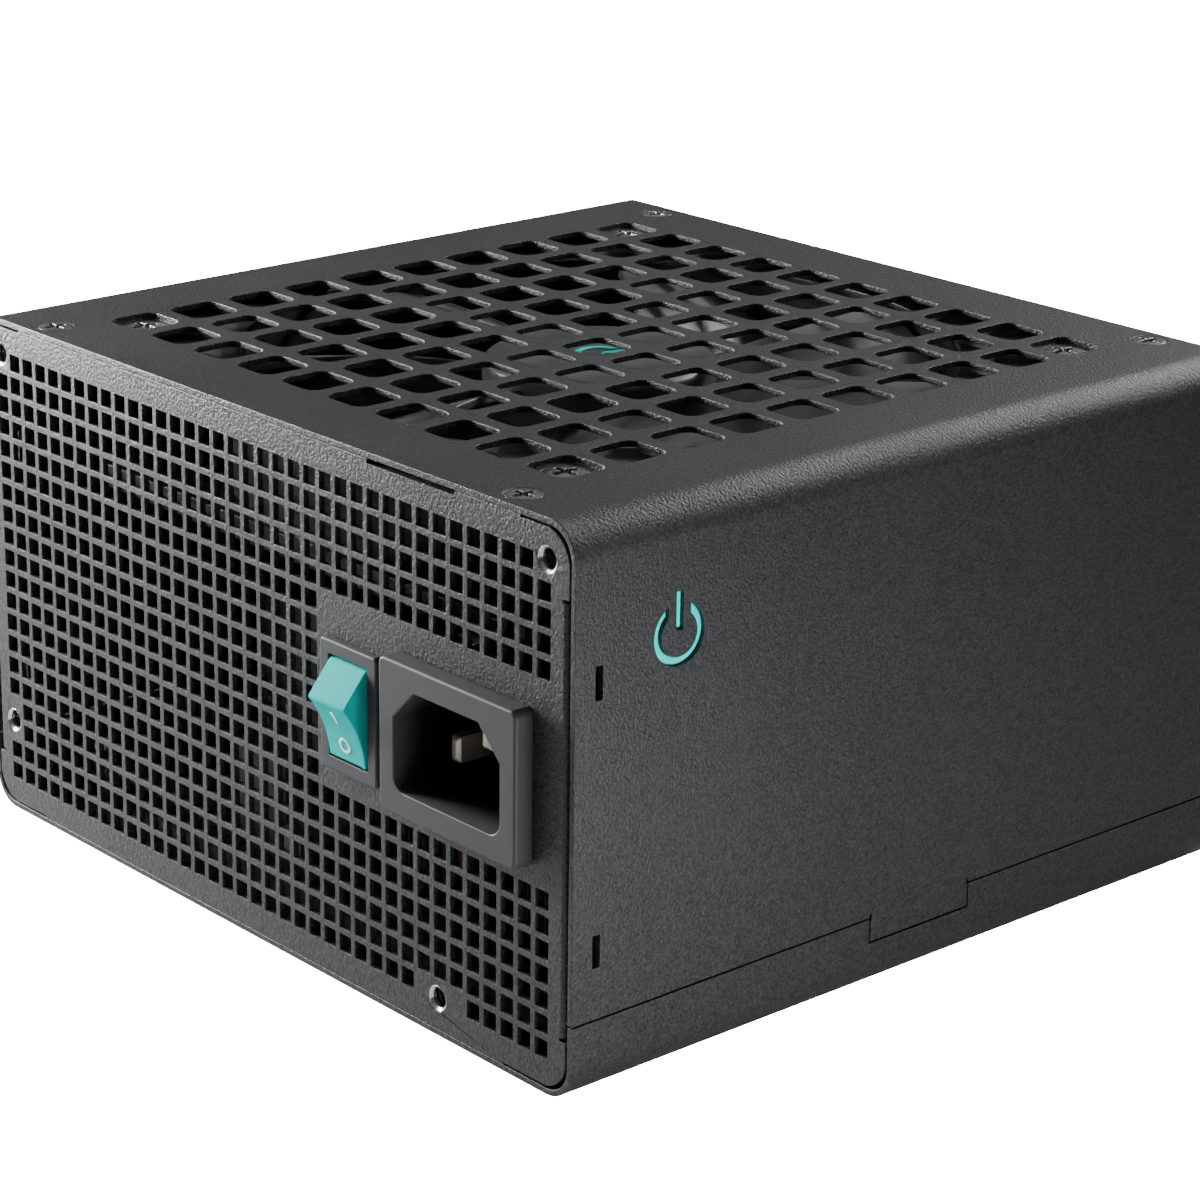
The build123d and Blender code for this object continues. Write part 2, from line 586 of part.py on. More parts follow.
with BuildPart() as contact_lever:
    with BuildSketch(LEVER_SIDE):
        Rectangle(LEVER[0], LEVER[1])
        with Locations((-0.3, 0)):
            Circle(0.7)
    extrude(amount=LEVER[2] / 2, both=True)
contact_lever.part.label = "contact_lever"
export_step(contact_lever.part, "parts/contact_lever.step")

with BuildPart() as switch_terminals:
    with BuildSketch(SWITCH_FACE.offset(-SWITCH_BODY_DEPTH)):
        with Locations((0, -6.0), (0, 0), (0, 6.0)):
            Rectangle(TERMINAL[0], TERMINAL[1])
    extrude(amount=-TERMINAL[2])
    with BuildSketch(Plane.XY.offset(SWITCH_Z)):
        with Locations((SWITCH_X, FRONT + SWITCH_BODY_DEPTH + 6.0)):
            Circle(TERMINAL_HOLE)
    extrude(amount=10, both=True, mode=Mode.SUBTRACT)
switch_terminals.part.label = "switch_terminals"
export_step(switch_terminals.part, "parts/switch_terminals.step")

# ---- Fan: frame with four struts, bearing, stator; impeller with magnet ring and shaft ----

DUCT_RADIUS = 58.0
DUCT_WALL = 1.8
EAR = 4.0
EAR_HOLE = 2.15
STRUT = (4.0, 3.0)  # width, height
HUB_RADIUS = 19.0
HUB_TOP = 82.6
HUB_BOTTOM = FAN_BOTTOM + 4.5
HUB_INSIDE = 17.4
HUB_ROOF = 2.0
HUB_BOSS = (3.6, 2.6)  # radius, height
BLADE_TIP = 56.8
BLADE_COUNT = 7
BLADE_MIDDLE = 72.0
# Blade sections from root to tip: radius, chord, pitch in degrees, turn about the axis in degrees.
BLADE_SECTIONS = ((17.6, 19.0, 46.0, 0.0), (37.0, 34.0, 33.0, 5.0), (59.0, 46.0, 24.0, 13.0))
SHAFT = 1.5
SHAFT_PLAY = 0.03
BEARING_RADIUS = 3.2
TUBE_RADIUS = 4.6

with BuildPart() as fan_frame:
    for ear_z in (FAN_BOTTOM, FAN_TOP - EAR):
        with BuildSketch(Plane.XY.offset(ear_z)):
            RectangleRounded(FAN_SIZE, FAN_SIZE, 6.0)
            Circle(DUCT_RADIUS, mode=Mode.SUBTRACT)
            with Locations(*fan_screw_places):
                Circle(EAR_HOLE, mode=Mode.SUBTRACT)
        extrude(amount=EAR)
    with BuildSketch(Plane.XY.offset(FAN_BOTTOM)):
        Circle(DUCT_RADIUS + DUCT_WALL)
        Circle(DUCT_RADIUS, mode=Mode.SUBTRACT)
    extrude(amount=FAN_DEPTH)
    with BuildSketch(Plane.XY.offset(FAN_BOTTOM)):
        with PolarLocations((DUCT_RADIUS + HUB_RADIUS) / 2, 4, start_angle=25):
            Rectangle(DUCT_RADIUS - HUB_RADIUS + 2.5, STRUT[0])
    extrude(amount=STRUT[1])
    with BuildSketch(Plane.XY.offset(FAN_BOTTOM)):
        Circle(HUB_RADIUS + 1.0)
    extrude(amount=2.0)
    with BuildSketch(Plane.XY.offset(FAN_BOTTOM)):
        Circle(TUBE_RADIUS)
    extrude(amount=17.0)
    with BuildSketch(Plane.XY.offset(FAN_BOTTOM + 1.5)):
        Circle(BEARING_RADIUS)
    extrude(amount=17.0, mode=Mode.SUBTRACT)
    with Locations(*[(x, y, FAN_TOP) for x, y in fan_screw_places]):
        CounterSinkHole(EAR_HOLE, FAN_SCREW_HEAD - SHEET + HEAD_GAP, depth=EAR, counter_sink_angle=90)
fan_frame.part.label = "fan_frame"
export_step(fan_frame.part, "parts/fan_frame.step")

with BuildPart() as blade:
    for section_radius, chord, pitch, turn in BLADE_SECTIONS:
        across = (cos(radians(turn)), sin(radians(turn)), 0)
        centre = (section_radius * across[0], section_radius * across[1], BLADE_MIDDLE)
        run = Vector(cos(radians(pitch)), sin(radians(pitch))) * (chord / 2)
        rise = Vector(-sin(radians(pitch)), cos(radians(pitch)))
        camber = 0.09 * chord
        with BuildSketch(Plane(origin=centre, x_dir=(-across[1], across[0], 0), z_dir=across)):
            with BuildLine():
                ThreePointArc(rise * 0.4 - run, rise * (camber + 0.8), rise * 0.4 + run)
                Line(rise * 0.4 + run, rise * -0.4 + run)
                ThreePointArc(rise * -0.4 + run, rise * (camber - 0.8), rise * -0.4 - run)
                Line(rise * -0.4 - run, rise * 0.4 - run)
            make_face()
    loft()
    with BuildSketch(Plane.XY):
        Circle(BLADE_TIP)
    extrude(amount=HEIGHT, mode=Mode.INTERSECT)

with BuildPart() as fan_impeller:
    with BuildSketch(Plane.XY.offset(HUB_BOTTOM)):
        Circle(HUB_RADIUS)
    extrude(amount=HUB_TOP - HUB_BOTTOM)
    chamfer(fan_impeller.edges().group_by(Axis.Z)[-1], 1.2)
    with BuildSketch(Plane.XY.offset(HUB_BOTTOM)):
        Circle(HUB_INSIDE)
    extrude(amount=HUB_TOP - HUB_BOTTOM - HUB_ROOF, mode=Mode.SUBTRACT)
    with BuildSketch(Plane.XY.offset(HUB_TOP - HUB_ROOF)):
        Circle(HUB_BOSS[0])
    extrude(amount=-HUB_BOSS[1])
    with BuildSketch(Plane.XY.offset(HUB_TOP - 0.8)):
        Circle(SHAFT)
    extrude(amount=-6.0, mode=Mode.SUBTRACT)
    with PolarLocations(0, BLADE_COUNT):
        add(blade.part)
fan_impeller.part.label = "fan_impeller"
export_step(fan_impeller.part, "parts/fan_impeller.step")

with BuildPart() as fan_hub_mark:
    with BuildSketch(Plane.XY.offset(HUB_TOP).rotated((0, 0, -20))):
        add(power_symbol(4.2, 1.2))
    extrude(amount=0.15)
fan_hub_mark.part.label = "fan_hub_mark"
export_step(fan_hub_mark.part, "parts/fan_hub_mark.step")

with BuildPart() as fan_magnet_ring:
    with Locations((0, 0, HUB_BOTTOM + 1.5)):
        add(ring(HUB_INSIDE, HUB_INSIDE - 1.5, 12.0))
fan_magnet_ring.part.label = "fan_magnet_ring"
export_step(fan_magnet_ring.part, "parts/fan_magnet_ring.step")

with BuildPart() as fan_shaft:
    with BuildSketch(Plane.XY.offset(FAN_BOTTOM + 1.8)):
        Circle(SHAFT)
    extrude(amount=HUB_TOP - 0.8 - FAN_BOTTOM - 1.8)
fan_shaft.part.label = "fan_shaft"
export_step(fan_shaft.part, "parts/fan_shaft.step")

with BuildPart() as fan_bearing:
    with Locations((0, 0, FAN_BOTTOM + 1.5)):
        add(ring(BEARING_RADIUS, SHAFT + SHAFT_PLAY, 15.5))
fan_bearing.part.label = "fan_bearing"
export_step(fan_bearing.part, "parts/fan_bearing.step")

STATOR_Z = FAN_BOTTOM + 8.5
STATOR_HEIGHT = 6.0
STATOR_RADIUS = 15.2
POLE_SHOE = 1.8
POLE_GAP = 4.5
POLE_WIDTH = 3.2
COIL = (5.4, 6.6, STATOR_HEIGHT + 3.4)
with BuildPart() as fan_stator:
    with BuildSketch(Plane.XY.offset(STATOR_Z)):
        Circle(STATOR_RADIUS)
        Circle(STATOR_RADIUS - POLE_SHOE, mode=Mode.SUBTRACT)
        with PolarLocations(STATOR_RADIUS - POLE_SHOE / 2, 4, start_angle=45):
            Rectangle(8.0, POLE_GAP, mode=Mode.SUBTRACT)
        Circle(7.0)
        with PolarLocations(9.5, 4):
            Rectangle(9.0, POLE_WIDTH)
        Circle(TUBE_RADIUS, mode=Mode.SUBTRACT)
    extrude(amount=STATOR_HEIGHT)
fan_stator.part.label = "fan_stator"
export_step(fan_stator.part, "parts/fan_stator.step")

with BuildPart() as coil:
    with Locations((10.0, 0, STATOR_Z + STATOR_HEIGHT / 2)):
        Box(*COIL)
        Box(COIL[0], POLE_WIDTH, STATOR_HEIGHT, mode=Mode.SUBTRACT)
with BuildPart() as fan_coils:
    with PolarLocations(0, 4):
        add(coil.part)
fan_coils.part.label = "fan_coils"
export_step(fan_coils.part, "parts/fan_coils.step")

with BuildPart() as fan_board:
    with Locations((0, 0, FAN_BOTTOM + 3.0)):
        add(ring(14.0, TUBE_RADIUS, 1.2))
fan_board.part.label = "fan_board"
export_step(fan_board.part, "parts/fan_board.step")

# ---- Insulating sheet, main board, its standoffs and screws ----

board_centre = ((BOARD_X[0] + BOARD_X[1]) / 2, (BOARD_Y[0] + BOARD_Y[1]) / 2)
board_size = (BOARD_X[1] - BOARD_X[0], BOARD_Y[1] - BOARD_Y[0])

with BuildPart() as insulating_sheet:
    with BuildSketch(Plane.XY.offset(SHEET)):
        with Locations(board_centre):
            Rectangle(*board_size)
        with Locations(*STANDOFF_PLACES):
            Circle(STANDOFF_CLEARANCE, mode=Mode.SUBTRACT)
    extrude(amount=INSULATION)
insulating_sheet.part.label = "insulating_sheet"
export_step(insulating_sheet.part, "parts/insulating_sheet.step")

with BuildPart() as board_standoffs:
    with BuildSketch(Plane.XY.offset(SHEET)):
        with Locations(*STANDOFF_PLACES):
            RegularPolygon(STANDOFF_FLATS, 6)
            Circle(STANDOFF_BORE, mode=Mode.SUBTRACT)
    extrude(amount=BOARD_Z - SHEET)
board_standoffs.part.label = "board_standoffs"
export_step(board_standoffs.part, "parts/board_standoffs.step")

with BuildPart() as main_board:
    with BuildSketch(Plane.XY.offset(BOARD_Z)):
        with Locations(board_centre):
            Rectangle(*board_size)
        with Locations(*STANDOFF_PLACES):
            Circle(1.6, mode=Mode.SUBTRACT)
    extrude(amount=BOARD)
main_board.part.label = "main_board"
export_step(main_board.part, "parts/main_board.step")

with BuildPart() as board_screw:
    Cylinder(*BOARD_SCREW_HEAD, align=LOW)
    fillet(board_screw.edges().group_by(Axis.Z)[-1], 0.8)
    with BuildSketch(Plane.XY.offset(BOARD_SCREW_HEAD[1])):
        Rectangle(3.4, 0.8)
        Rectangle(0.8, 3.4)
    extrude(amount=-1.2, mode=Mode.SUBTRACT)
    Cylinder(STANDOFF_BORE, 6.0, align=(Align.CENTER, Align.CENTER, Align.MAX))
with BuildPart() as board_screws:
    with Locations(*[(x, y, BOARD_TOP) for x, y in STANDOFF_PLACES]):
        add(board_screw.part)
board_screws.part.label = "board_screws"
export_step(board_screws.part, "parts/board_screws.step")

# ---- Mains side: inlet board, filter, rectifier and power factor stage ----

inlet_board_y = FRONT + BLADE_BACK_DEPTH
INLET_BOARD = (34.0, 24.0)
FILM_CAN = (26.0, 10.0, 18.0)
FUSE_PLACE = (-2.0, -52.0, BOARD_TOP + 3.4)
FUSE_LENGTH = 20.0
FUSE_CAP = 5.5
THERMISTOR = (6.5, 4.5)
THERMISTOR_PLACE = (-2.0, -34.0)
THERMISTOR_LEG = 2.5
RELAY = (15.0, 19.0, 15.0)
SINK_HEIGHT = 40.0
SINK_PLATE = 3.0
SINK_FINS = 5
RECTIFIER = (4.6, 26.0, 18.0)
RECTIFIER_Y = 8.0
with BuildPart() as inlet_board:
    with Locations((INLET_X, inlet_board_y, INLET_Z)):
        Box(INLET_BOARD[0], BOARD, INLET_BOARD[1], align=(Align.CENTER, Align.MIN, Align.CENTER))
inlet_board.part.label = "inlet_board"
export_step(inlet_board.part, "parts/inlet_board.step")

with BuildPart() as film_capacitors:
    with Locations((INLET_X, inlet_board_y + BOARD, INLET_Z)):
        Box(FILM_CAN[0], FILM_CAN[1], FILM_CAN[2] - 1, align=(Align.CENTER, Align.MIN, Align.CENTER))
    with Locations((52.0, -22.0, BOARD_TOP), (20.0, -22.0, BOARD_TOP)):
        Box(*FILM_CAN, align=LOW)
    fillet(film_capacitors.edges(), 0.8)
film_capacitors.part.label = "film_capacitors"
export_step(film_capacitors.part, "parts/film_capacitors.step")

# Ring cores: outside radius, inside radius, height; then the thickness of wire round them.
FILTER_RING = (11.0, 6.0, 9.0)
FILTER_WIRE = 1.6
CHOKE_PLACES = ((50.0, -42.0), (20.0, -42.0))
with BuildPart() as filter_choke_cores:
    with Locations(*[(x, y, BOARD_TOP + FILTER_WIRE) for x, y in CHOKE_PLACES]):
        add(ring(*FILTER_RING))
filter_choke_cores.part.label = "filter_choke_cores"
export_step(filter_choke_cores.part, "parts/filter_choke_cores.step")

with BuildPart() as filter_choke_windings:
    with Locations(*[(x, y, BOARD_TOP) for x, y in CHOKE_PLACES]):
        for start in (15, 195):
            add(toroid_winding(*FILTER_RING, FILTER_WIRE, start, 150))
filter_choke_windings.part.label = "filter_choke_windings"
export_step(filter_choke_windings.part, "parts/filter_choke_windings.step")

with BuildPart() as fuse:
    with Locations(Plane(origin=FUSE_PLACE, z_dir=(0, 1, 0))):
        Cylinder(2.6, FUSE_LENGTH)
        with Locations((0, 0, (FUSE_CAP - FUSE_LENGTH) / 2), (0, 0, (FUSE_LENGTH - FUSE_CAP) / 2)):
            Cylinder(3.0, FUSE_CAP)
fuse.part.label = "fuse"
export_step(fuse.part, "parts/fuse.step")

with BuildPart() as thermistor:
    with Locations(Plane(origin=(*THERMISTOR_PLACE, BOARD_TOP + 9.0), z_dir=(0, 1, 0))):
        Cylinder(*THERMISTOR)
    fillet(thermistor.edges(), 1.5)
    with Locations((THERMISTOR_PLACE[0], THERMISTOR_PLACE[1], BOARD_TOP)):
        with Locations((-THERMISTOR_LEG, 0, 0), (THERMISTOR_LEG, 0, 0)):
            Cylinder(0.4, 5.0, align=LOW)
thermistor.part.label = "thermistor"
export_step(thermistor.part, "parts/thermistor.step")

with BuildPart() as inrush_relay:
    with Locations((-14.0, -50.0, BOARD_TOP)):
        Box(*RELAY, align=LOW)
    fillet(inrush_relay.edges().filter_by(Axis.Z), 1.0)
inrush_relay.part.label = "inrush_relay"
export_step(inrush_relay.part, "parts/inrush_relay.step")

PRIMARY_SINK = (30.0, 18.0, 54.0)  # X, centre Y, length
with BuildPart() as primary_heatsink:
    with Locations((PRIMARY_SINK[0], PRIMARY_SINK[1], BOARD_TOP)):
        add(finned_plate(PRIMARY_SINK[2], SINK_HEIGHT, SINK_PLATE, SINK_FINS))
primary_heatsink.part.label = "primary_heatsink"
export_step(primary_heatsink.part, "parts/primary_heatsink.step")

with BuildPart() as bridge_rectifier:
    with Locations((PRIMARY_SINK[0] + SINK_PLATE / 2, RECTIFIER_Y, BOARD_TOP + 4.0)):
        Box(*RECTIFIER, align=(Align.MIN, Align.CENTER, Align.MIN))
    with Locations(*[(PRIMARY_SINK[0] + 3.8, RECTIFIER_Y + y, BOARD_TOP) for y in (-9.0, -3.0, 3.0, 9.0)]):
        Box(0.8, 1.6, 4.0, align=LOW)
bridge_rectifier.part.label = "bridge_rectifier"
export_step(bridge_rectifier.part, "parts/bridge_rectifier.step")

SECONDARY_SINK = (-22.0, 24.0, 44.0)
transistor_places = [(PRIMARY_SINK[0] - 3.1, y) for y in (24.0, 38.0)]
transistor_places += [(SECONDARY_SINK[0] - 3.1, y) for y in (8.0, 21.0, 34.0)]
with BuildPart() as power_transistors:
    with Locations(*[(x, y, BOARD_TOP) for x, y in transistor_places]):
        add(transistor())
power_transistors.part.label = "power_transistors"
export_step(power_transistors.part, "parts/power_transistors.step")

BULK_PLACES = ((53.0, 2.0), (53.0, 30.0))
BULK_CAN = (12.5, 45.0)  # radius, height
with BuildPart() as bulk_capacitors:
    with Locations(*[(x, y, BOARD_TOP) for x, y in BULK_PLACES]):
        add(capacitor(*BULK_CAN))
bulk_capacitors.part.label = "bulk_capacitors"
export_step(bulk_capacitors.part, "parts/bulk_capacitors.step")

BOOST_PLACE = (10.0, -1.0)
BOOST_RING = (12.5, 6.5, 14.0)
BOOST_WIRE = 2.0
with BuildPart() as boost_choke_core:
    with Locations((*BOOST_PLACE, BOARD_TOP + BOOST_WIRE)):
        add(ring(*BOOST_RING))
boost_choke_core.part.label = "boost_choke_core"
export_step(boost_choke_core.part, "parts/boost_choke_core.step")

with BuildPart() as boost_choke_winding:
    with Locations((*BOOST_PLACE, BOARD_TOP)):
        add(toroid_winding(*BOOST_RING, BOOST_WIRE, 0, 335))
boost_choke_winding.part.label = "boost_choke_winding"
export_step(boost_choke_winding.part, "parts/boost_choke_winding.step")

# ---- Transformers ----

MAIN_CORE = (36.0, 18.0, 34.0, 12.0)
MAIN_PLACE = (3.0, 35.0, BOARD_TOP)
STANDBY_CORE = (20.0, 9.0, 19.0, 6.0)
STANDBY_PLACE = (-24.0, -16.0, BOARD_TOP)

with BuildPart() as main_transformer_core:
    with Locations(MAIN_PLACE):
        add(e_core(*MAIN_CORE))
main_transformer_core.part.label = "main_transformer_core"
export_step(main_transformer_core.part, "parts/main_transformer_core.step")

with BuildPart() as main_transformer_winding:
    with Locations(MAIN_PLACE):
        add(bobbin(*MAIN_CORE))
main_transformer_winding.part.label = "main_transformer_winding"
export_step(main_transformer_winding.part, "parts/main_transformer_winding.step")

with BuildPart() as standby_transformer_core:
    with Locations(STANDBY_PLACE):
        add(e_core(*STANDBY_CORE))
standby_transformer_core.part.label = "standby_transformer_core"
export_step(standby_transformer_core.part, "parts/standby_transformer_core.step")

with BuildPart() as standby_transformer_winding:
    with Locations(STANDBY_PLACE):
        add(bobbin(*STANDBY_CORE))
standby_transformer_winding.part.label = "standby_transformer_winding"
export_step(standby_transformer_winding.part, "parts/standby_transformer_winding.step")

# ---- Output side ----

with BuildPart() as secondary_heatsink:
    with Locations((SECONDARY_SINK[0], SECONDARY_SINK[1], BOARD_TOP)):
        add(finned_plate(SECONDARY_SINK[2], SINK_HEIGHT, SINK_PLATE, SINK_FINS))
secondary_heatsink.part.label = "secondary_heatsink"
export_step(secondary_heatsink.part, "parts/secondary_heatsink.step")

OUTPUT_CAN = (5.0, 25.0)
OUTPUT_CAN_X = (-36.0, -48.0)
OUTPUT_CAN_Y = (4.0, 16.0, 28.0, 40.0)
with BuildPart() as output_capacitors:
    with Locations(*[(x, y, BOARD_TOP) for x in OUTPUT_CAN_X for y in OUTPUT_CAN_Y]):
        add(capacitor(*OUTPUT_CAN))
output_capacitors.part.label = "output_capacitors"
export_step(output_capacitors.part, "parts/output_capacitors.step")

OUTPUT_CHOKES = ((-54.0, -14.0), (-54.0, -36.0))
OUTPUT_RING = (8.5, 4.5, 8.0)
OUTPUT_WIRE = 1.4
with BuildPart() as output_choke_cores:
    with Locations(*[(x, y, BOARD_TOP + OUTPUT_WIRE) for x, y in OUTPUT_CHOKES]):
        add(ring(*OUTPUT_RING))
output_choke_cores.part.label = "output_choke_cores"
export_step(output_choke_cores.part, "parts/output_choke_cores.step")

with BuildPart() as output_choke_windings:
    with Locations(*[(x, y, BOARD_TOP) for x, y in OUTPUT_CHOKES]):
        add(toroid_winding(*OUTPUT_RING, OUTPUT_WIRE, 0, 320))
output_choke_windings.part.label = "output_choke_windings"
export_step(output_choke_windings.part, "parts/output_choke_windings.step")

CONVERTER_X = -62.0
INDUCTOR = (4.6, 11.0, 11.0)
with BuildPart() as converter_board:
    with Locations((CONVERTER_X, 26.0, BOARD_TOP)):
        Box(BOARD, 32.0, 38.0, align=LOW)
    with Locations(*[(CONVERTER_X + 3.1, y, BOARD_TOP + 12.0) for y in (18.0, 34.0)]):
        Box(*INDUCTOR)
converter_board.part.label = "converter_board"
export_step(converter_board.part, "parts/converter_board.step")

CONTROL_PLACE = (-28.0, -38.0)
CHIP = (10.0, 1.2, 6.0)
with BuildPart() as control_board:
    with Locations((*CONTROL_PLACE, BOARD_TOP)):
        Box(24.0, BOARD, 30.0, align=LOW)
    with Locations((*CONTROL_PLACE, BOARD_TOP + 16.0)):
        with Locations((0, (BOARD + CHIP[1]) / 2, 0)):
            Box(*CHIP)
control_board.part.label = "control_board"
export_step(control_board.part, "parts/control_board.step")

# ---- Output sockets, their pins, and the board behind them ----

SOCKET_HEIGHT = 10.6
SOCKET_DEPTH = 13.0
SOCKET_WALL = 0.9
MOUTH_DEPTH = 4.5  # open in front of the pin cells
CELL = 3.6
PIN = 1.1
PIN_RECESS = 5.0
CELL_FLOOR = 1.5
LATCH = (3.4, 1.0, 2.4)
LATCH_SETBACK = 0.6
socket_board_y = REAR + SOCKET_PROUD - SOCKET_DEPTH


def socket_width(columns):
    """Outside width of a two-row socket with that many columns."""
    return columns * SOCKET_PITCH + 2.0


def socket_shell(columns):
    """A two-row socket, its mouth at z = 0 and facing up: shroud, a cell for each pin, latch ramp."""
    width = socket_width(columns)
    with BuildPart() as made:
        Box(width, SOCKET_HEIGHT, SOCKET_DEPTH, align=(Align.CENTER, Align.CENTER, Align.MAX))
        with BuildSketch(Plane.XY):
            Rectangle(width - 2 * SOCKET_WALL, SOCKET_HEIGHT - 2 * SOCKET_WALL)
        extrude(amount=-MOUTH_DEPTH, mode=Mode.SUBTRACT)
        with BuildSketch(Plane.XY.offset(-MOUTH_DEPTH)):
            with GridLocations(SOCKET_PITCH, SOCKET_PITCH, columns, 2):
                Rectangle(CELL, CELL)
        extrude(amount=-(SOCKET_DEPTH - MOUTH_DEPTH - CELL_FLOOR), mode=Mode.SUBTRACT)
        with BuildSketch(Plane.XY.offset(-SOCKET_DEPTH)):
            with GridLocations(SOCKET_PITCH, SOCKET_PITCH, columns, 2):
                Rectangle(PIN, PIN)
        extrude(amount=2.0, mode=Mode.SUBTRACT)
        with Locations((0, SOCKET_HEIGHT / 2, -LATCH_SETBACK)):
            Box(*LATCH, align=(Align.CENTER, Align.MIN, Align.MAX))
    return made.part


def socket_planes(places):
    """Planes at the mouths of the sockets at those (x, z) places, facing +Y."""
    return [Plane(origin=(x, REAR + SOCKET_PROUD, z), x_dir=(-1, 0, 0), z_dir=(0, 1, 0)) for x, z in places]


socket_sets = ((12, SOCKETS_24), (4, SOCKETS_8), (3, SOCKETS_6))

with BuildPart() as socket_24_pin:
    with Locations(*socket_planes(SOCKETS_24)):
        add(socket_shell(12))
socket_24_pin.part.label = "socket_24_pin"
export_step(socket_24_pin.part, "parts/socket_24_pin.step")

with BuildPart() as sockets_8_pin:
    with Locations(*socket_planes(SOCKETS_8)):
        add(socket_shell(4))
sockets_8_pin.part.label = "sockets_8_pin"
export_step(sockets_8_pin.part, "parts/sockets_8_pin.step")

with BuildPart() as sockets_6_pin:
    with Locations(*socket_planes(SOCKETS_6)):
        add(socket_shell(3))
sockets_6_pin.part.label = "sockets_6_pin"
export_step(sockets_6_pin.part, "parts/sockets_6_pin.step")

PIN_TAIL = 3.0
SOCKET_BOARD = (136.0, 51.0)
SOCKET_BOARD_Z = 31.5
pin_places = [
    (x + (i - (columns - 1) / 2) * SOCKET_PITCH, z + side * SOCKET_PITCH / 2)
    for columns, places in socket_sets
    for x, z in places
    for i in range(columns)
    for side in (-1, 1)
]
pin_base = Plane.XZ.offset(-socket_board_y)

with BuildPart() as socket_pins:
    with BuildSketch(Plane.XZ.offset(-(REAR + SOCKET_PROUD - PIN_RECESS))):
        with Locations(*pin_places):
            Rectangle(PIN, PIN)
    extrude(amount=SOCKET_DEPTH - PIN_RECESS + PIN_TAIL)
socket_pins.part.label = "socket_pins"
export_step(socket_pins.part, "parts/socket_pins.step")

with BuildPart() as socket_board:
    with BuildSketch(pin_base):
        with Locations((0, SOCKET_BOARD_Z)):
            Rectangle(*SOCKET_BOARD)
        with Locations(*pin_places):
            Rectangle(PIN, PIN, mode=Mode.SUBTRACT)
    extrude(amount=BOARD)
socket_board.part.label = "socket_board"
export_step(socket_board.part, "parts/socket_board.step")

bus_bar_back = socket_board_y - BOARD
BUS_BAR = (8.0, 1.0, 22.0)
BUS_BAR_X = (-50.0, -39.0, -28.0)
BUS_BAR_Y = 49.0
bus_bar_reach = bus_bar_back - BUS_BAR_Y + BUS_BAR[1] / 2
with BuildPart() as bus_bars:
    with Locations(*[(x, BUS_BAR_Y, BOARD_TOP) for x in BUS_BAR_X]):
        Box(*BUS_BAR, align=LOW)
    with Locations(*[(x, BUS_BAR_Y - BUS_BAR[1] / 2, BOARD_TOP + BUS_BAR[2]) for x in BUS_BAR_X]):
        Box(BUS_BAR[0], bus_bar_reach, BUS_BAR[1], align=(Align.CENTER, Align.MIN, Align.MAX))
bus_bars.part.label = "bus_bars"
export_step(bus_bars.part, "parts/bus_bars.step")

# ---- Rear panel: an opening for each socket, and the front panel's flanges turned about ----

LATCH_GAP = 3.8
latch_rise = LATCH[1] + OPENING_GAP
with BuildPart() as rear_panel:
    with BuildSketch(Plane.XZ.offset(-REAR)):
        add(panel_outline())
        for columns, places in socket_sets:
            width = socket_width(columns) + OPENING_GAP
            with Locations(*places):
                Rectangle(width, SOCKET_HEIGHT + OPENING_GAP, mode=Mode.SUBTRACT)
            with Locations(*[(x, z + SOCKET_HEIGHT / 2) for x, z in places]):
                Rectangle(LATCH_GAP, latch_rise, align=(Align.CENTER, Align.MIN), mode=Mode.SUBTRACT)
    extrude(amount=SHEET)
    mirror(front_flanges.part, about=Plane.XZ)
rear_panel.part.label = "rear_panel"
export_step(rear_panel.part, "parts/rear_panel.step")
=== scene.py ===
import json
from math import cos, pi, radians, sin

import bmesh
import bpy
from mathutils import Matrix, Vector

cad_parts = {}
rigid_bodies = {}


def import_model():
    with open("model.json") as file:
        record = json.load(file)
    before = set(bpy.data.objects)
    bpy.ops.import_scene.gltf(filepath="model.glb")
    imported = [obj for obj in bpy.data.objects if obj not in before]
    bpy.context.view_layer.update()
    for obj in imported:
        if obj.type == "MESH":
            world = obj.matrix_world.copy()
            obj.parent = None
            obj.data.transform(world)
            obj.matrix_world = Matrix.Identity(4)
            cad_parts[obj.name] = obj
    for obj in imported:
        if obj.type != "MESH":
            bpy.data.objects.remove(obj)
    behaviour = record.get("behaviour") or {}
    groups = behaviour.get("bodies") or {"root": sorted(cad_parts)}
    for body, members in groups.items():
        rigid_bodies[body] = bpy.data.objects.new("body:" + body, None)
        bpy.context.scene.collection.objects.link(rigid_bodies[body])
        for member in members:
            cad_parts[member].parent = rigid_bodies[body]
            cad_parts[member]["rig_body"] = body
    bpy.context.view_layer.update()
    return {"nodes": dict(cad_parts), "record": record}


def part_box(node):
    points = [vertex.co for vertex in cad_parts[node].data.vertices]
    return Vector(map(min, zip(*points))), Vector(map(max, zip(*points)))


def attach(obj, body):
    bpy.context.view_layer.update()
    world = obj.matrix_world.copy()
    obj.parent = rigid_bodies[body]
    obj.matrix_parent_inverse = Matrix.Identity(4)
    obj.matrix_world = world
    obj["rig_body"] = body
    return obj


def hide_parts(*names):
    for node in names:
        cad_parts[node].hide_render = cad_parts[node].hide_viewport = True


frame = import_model()


# ---- Studio: camera, lamps, room and floor ----
# A long lens looks down on the corner between the mains panel and the right side. A long softbox behind the
# unit lights its folded edge, and four weaker ones light the top, the panel, the rims of the holes and the
# foot of the right side. The room is dark near the ground, and the white paper only glows for the camera.
# The paper's colour is a painted pool of light by the unit's right side, fading to painted dark further out.

MM = 0.001

SENSOR_WIDTH = 36.0
LENS_LENGTH = 107.5
LENS_SHIFT = (0.061, -0.084)
LENS_REACH = (0.02, 60.0)
CAMERA_PLACE = (0.4191, -0.3703, 0.2329)
CAMERA_TURN = radians(49.73)
CAMERA_DIP = radians(17.38)
CAMERA_ROLL = radians(0.33)

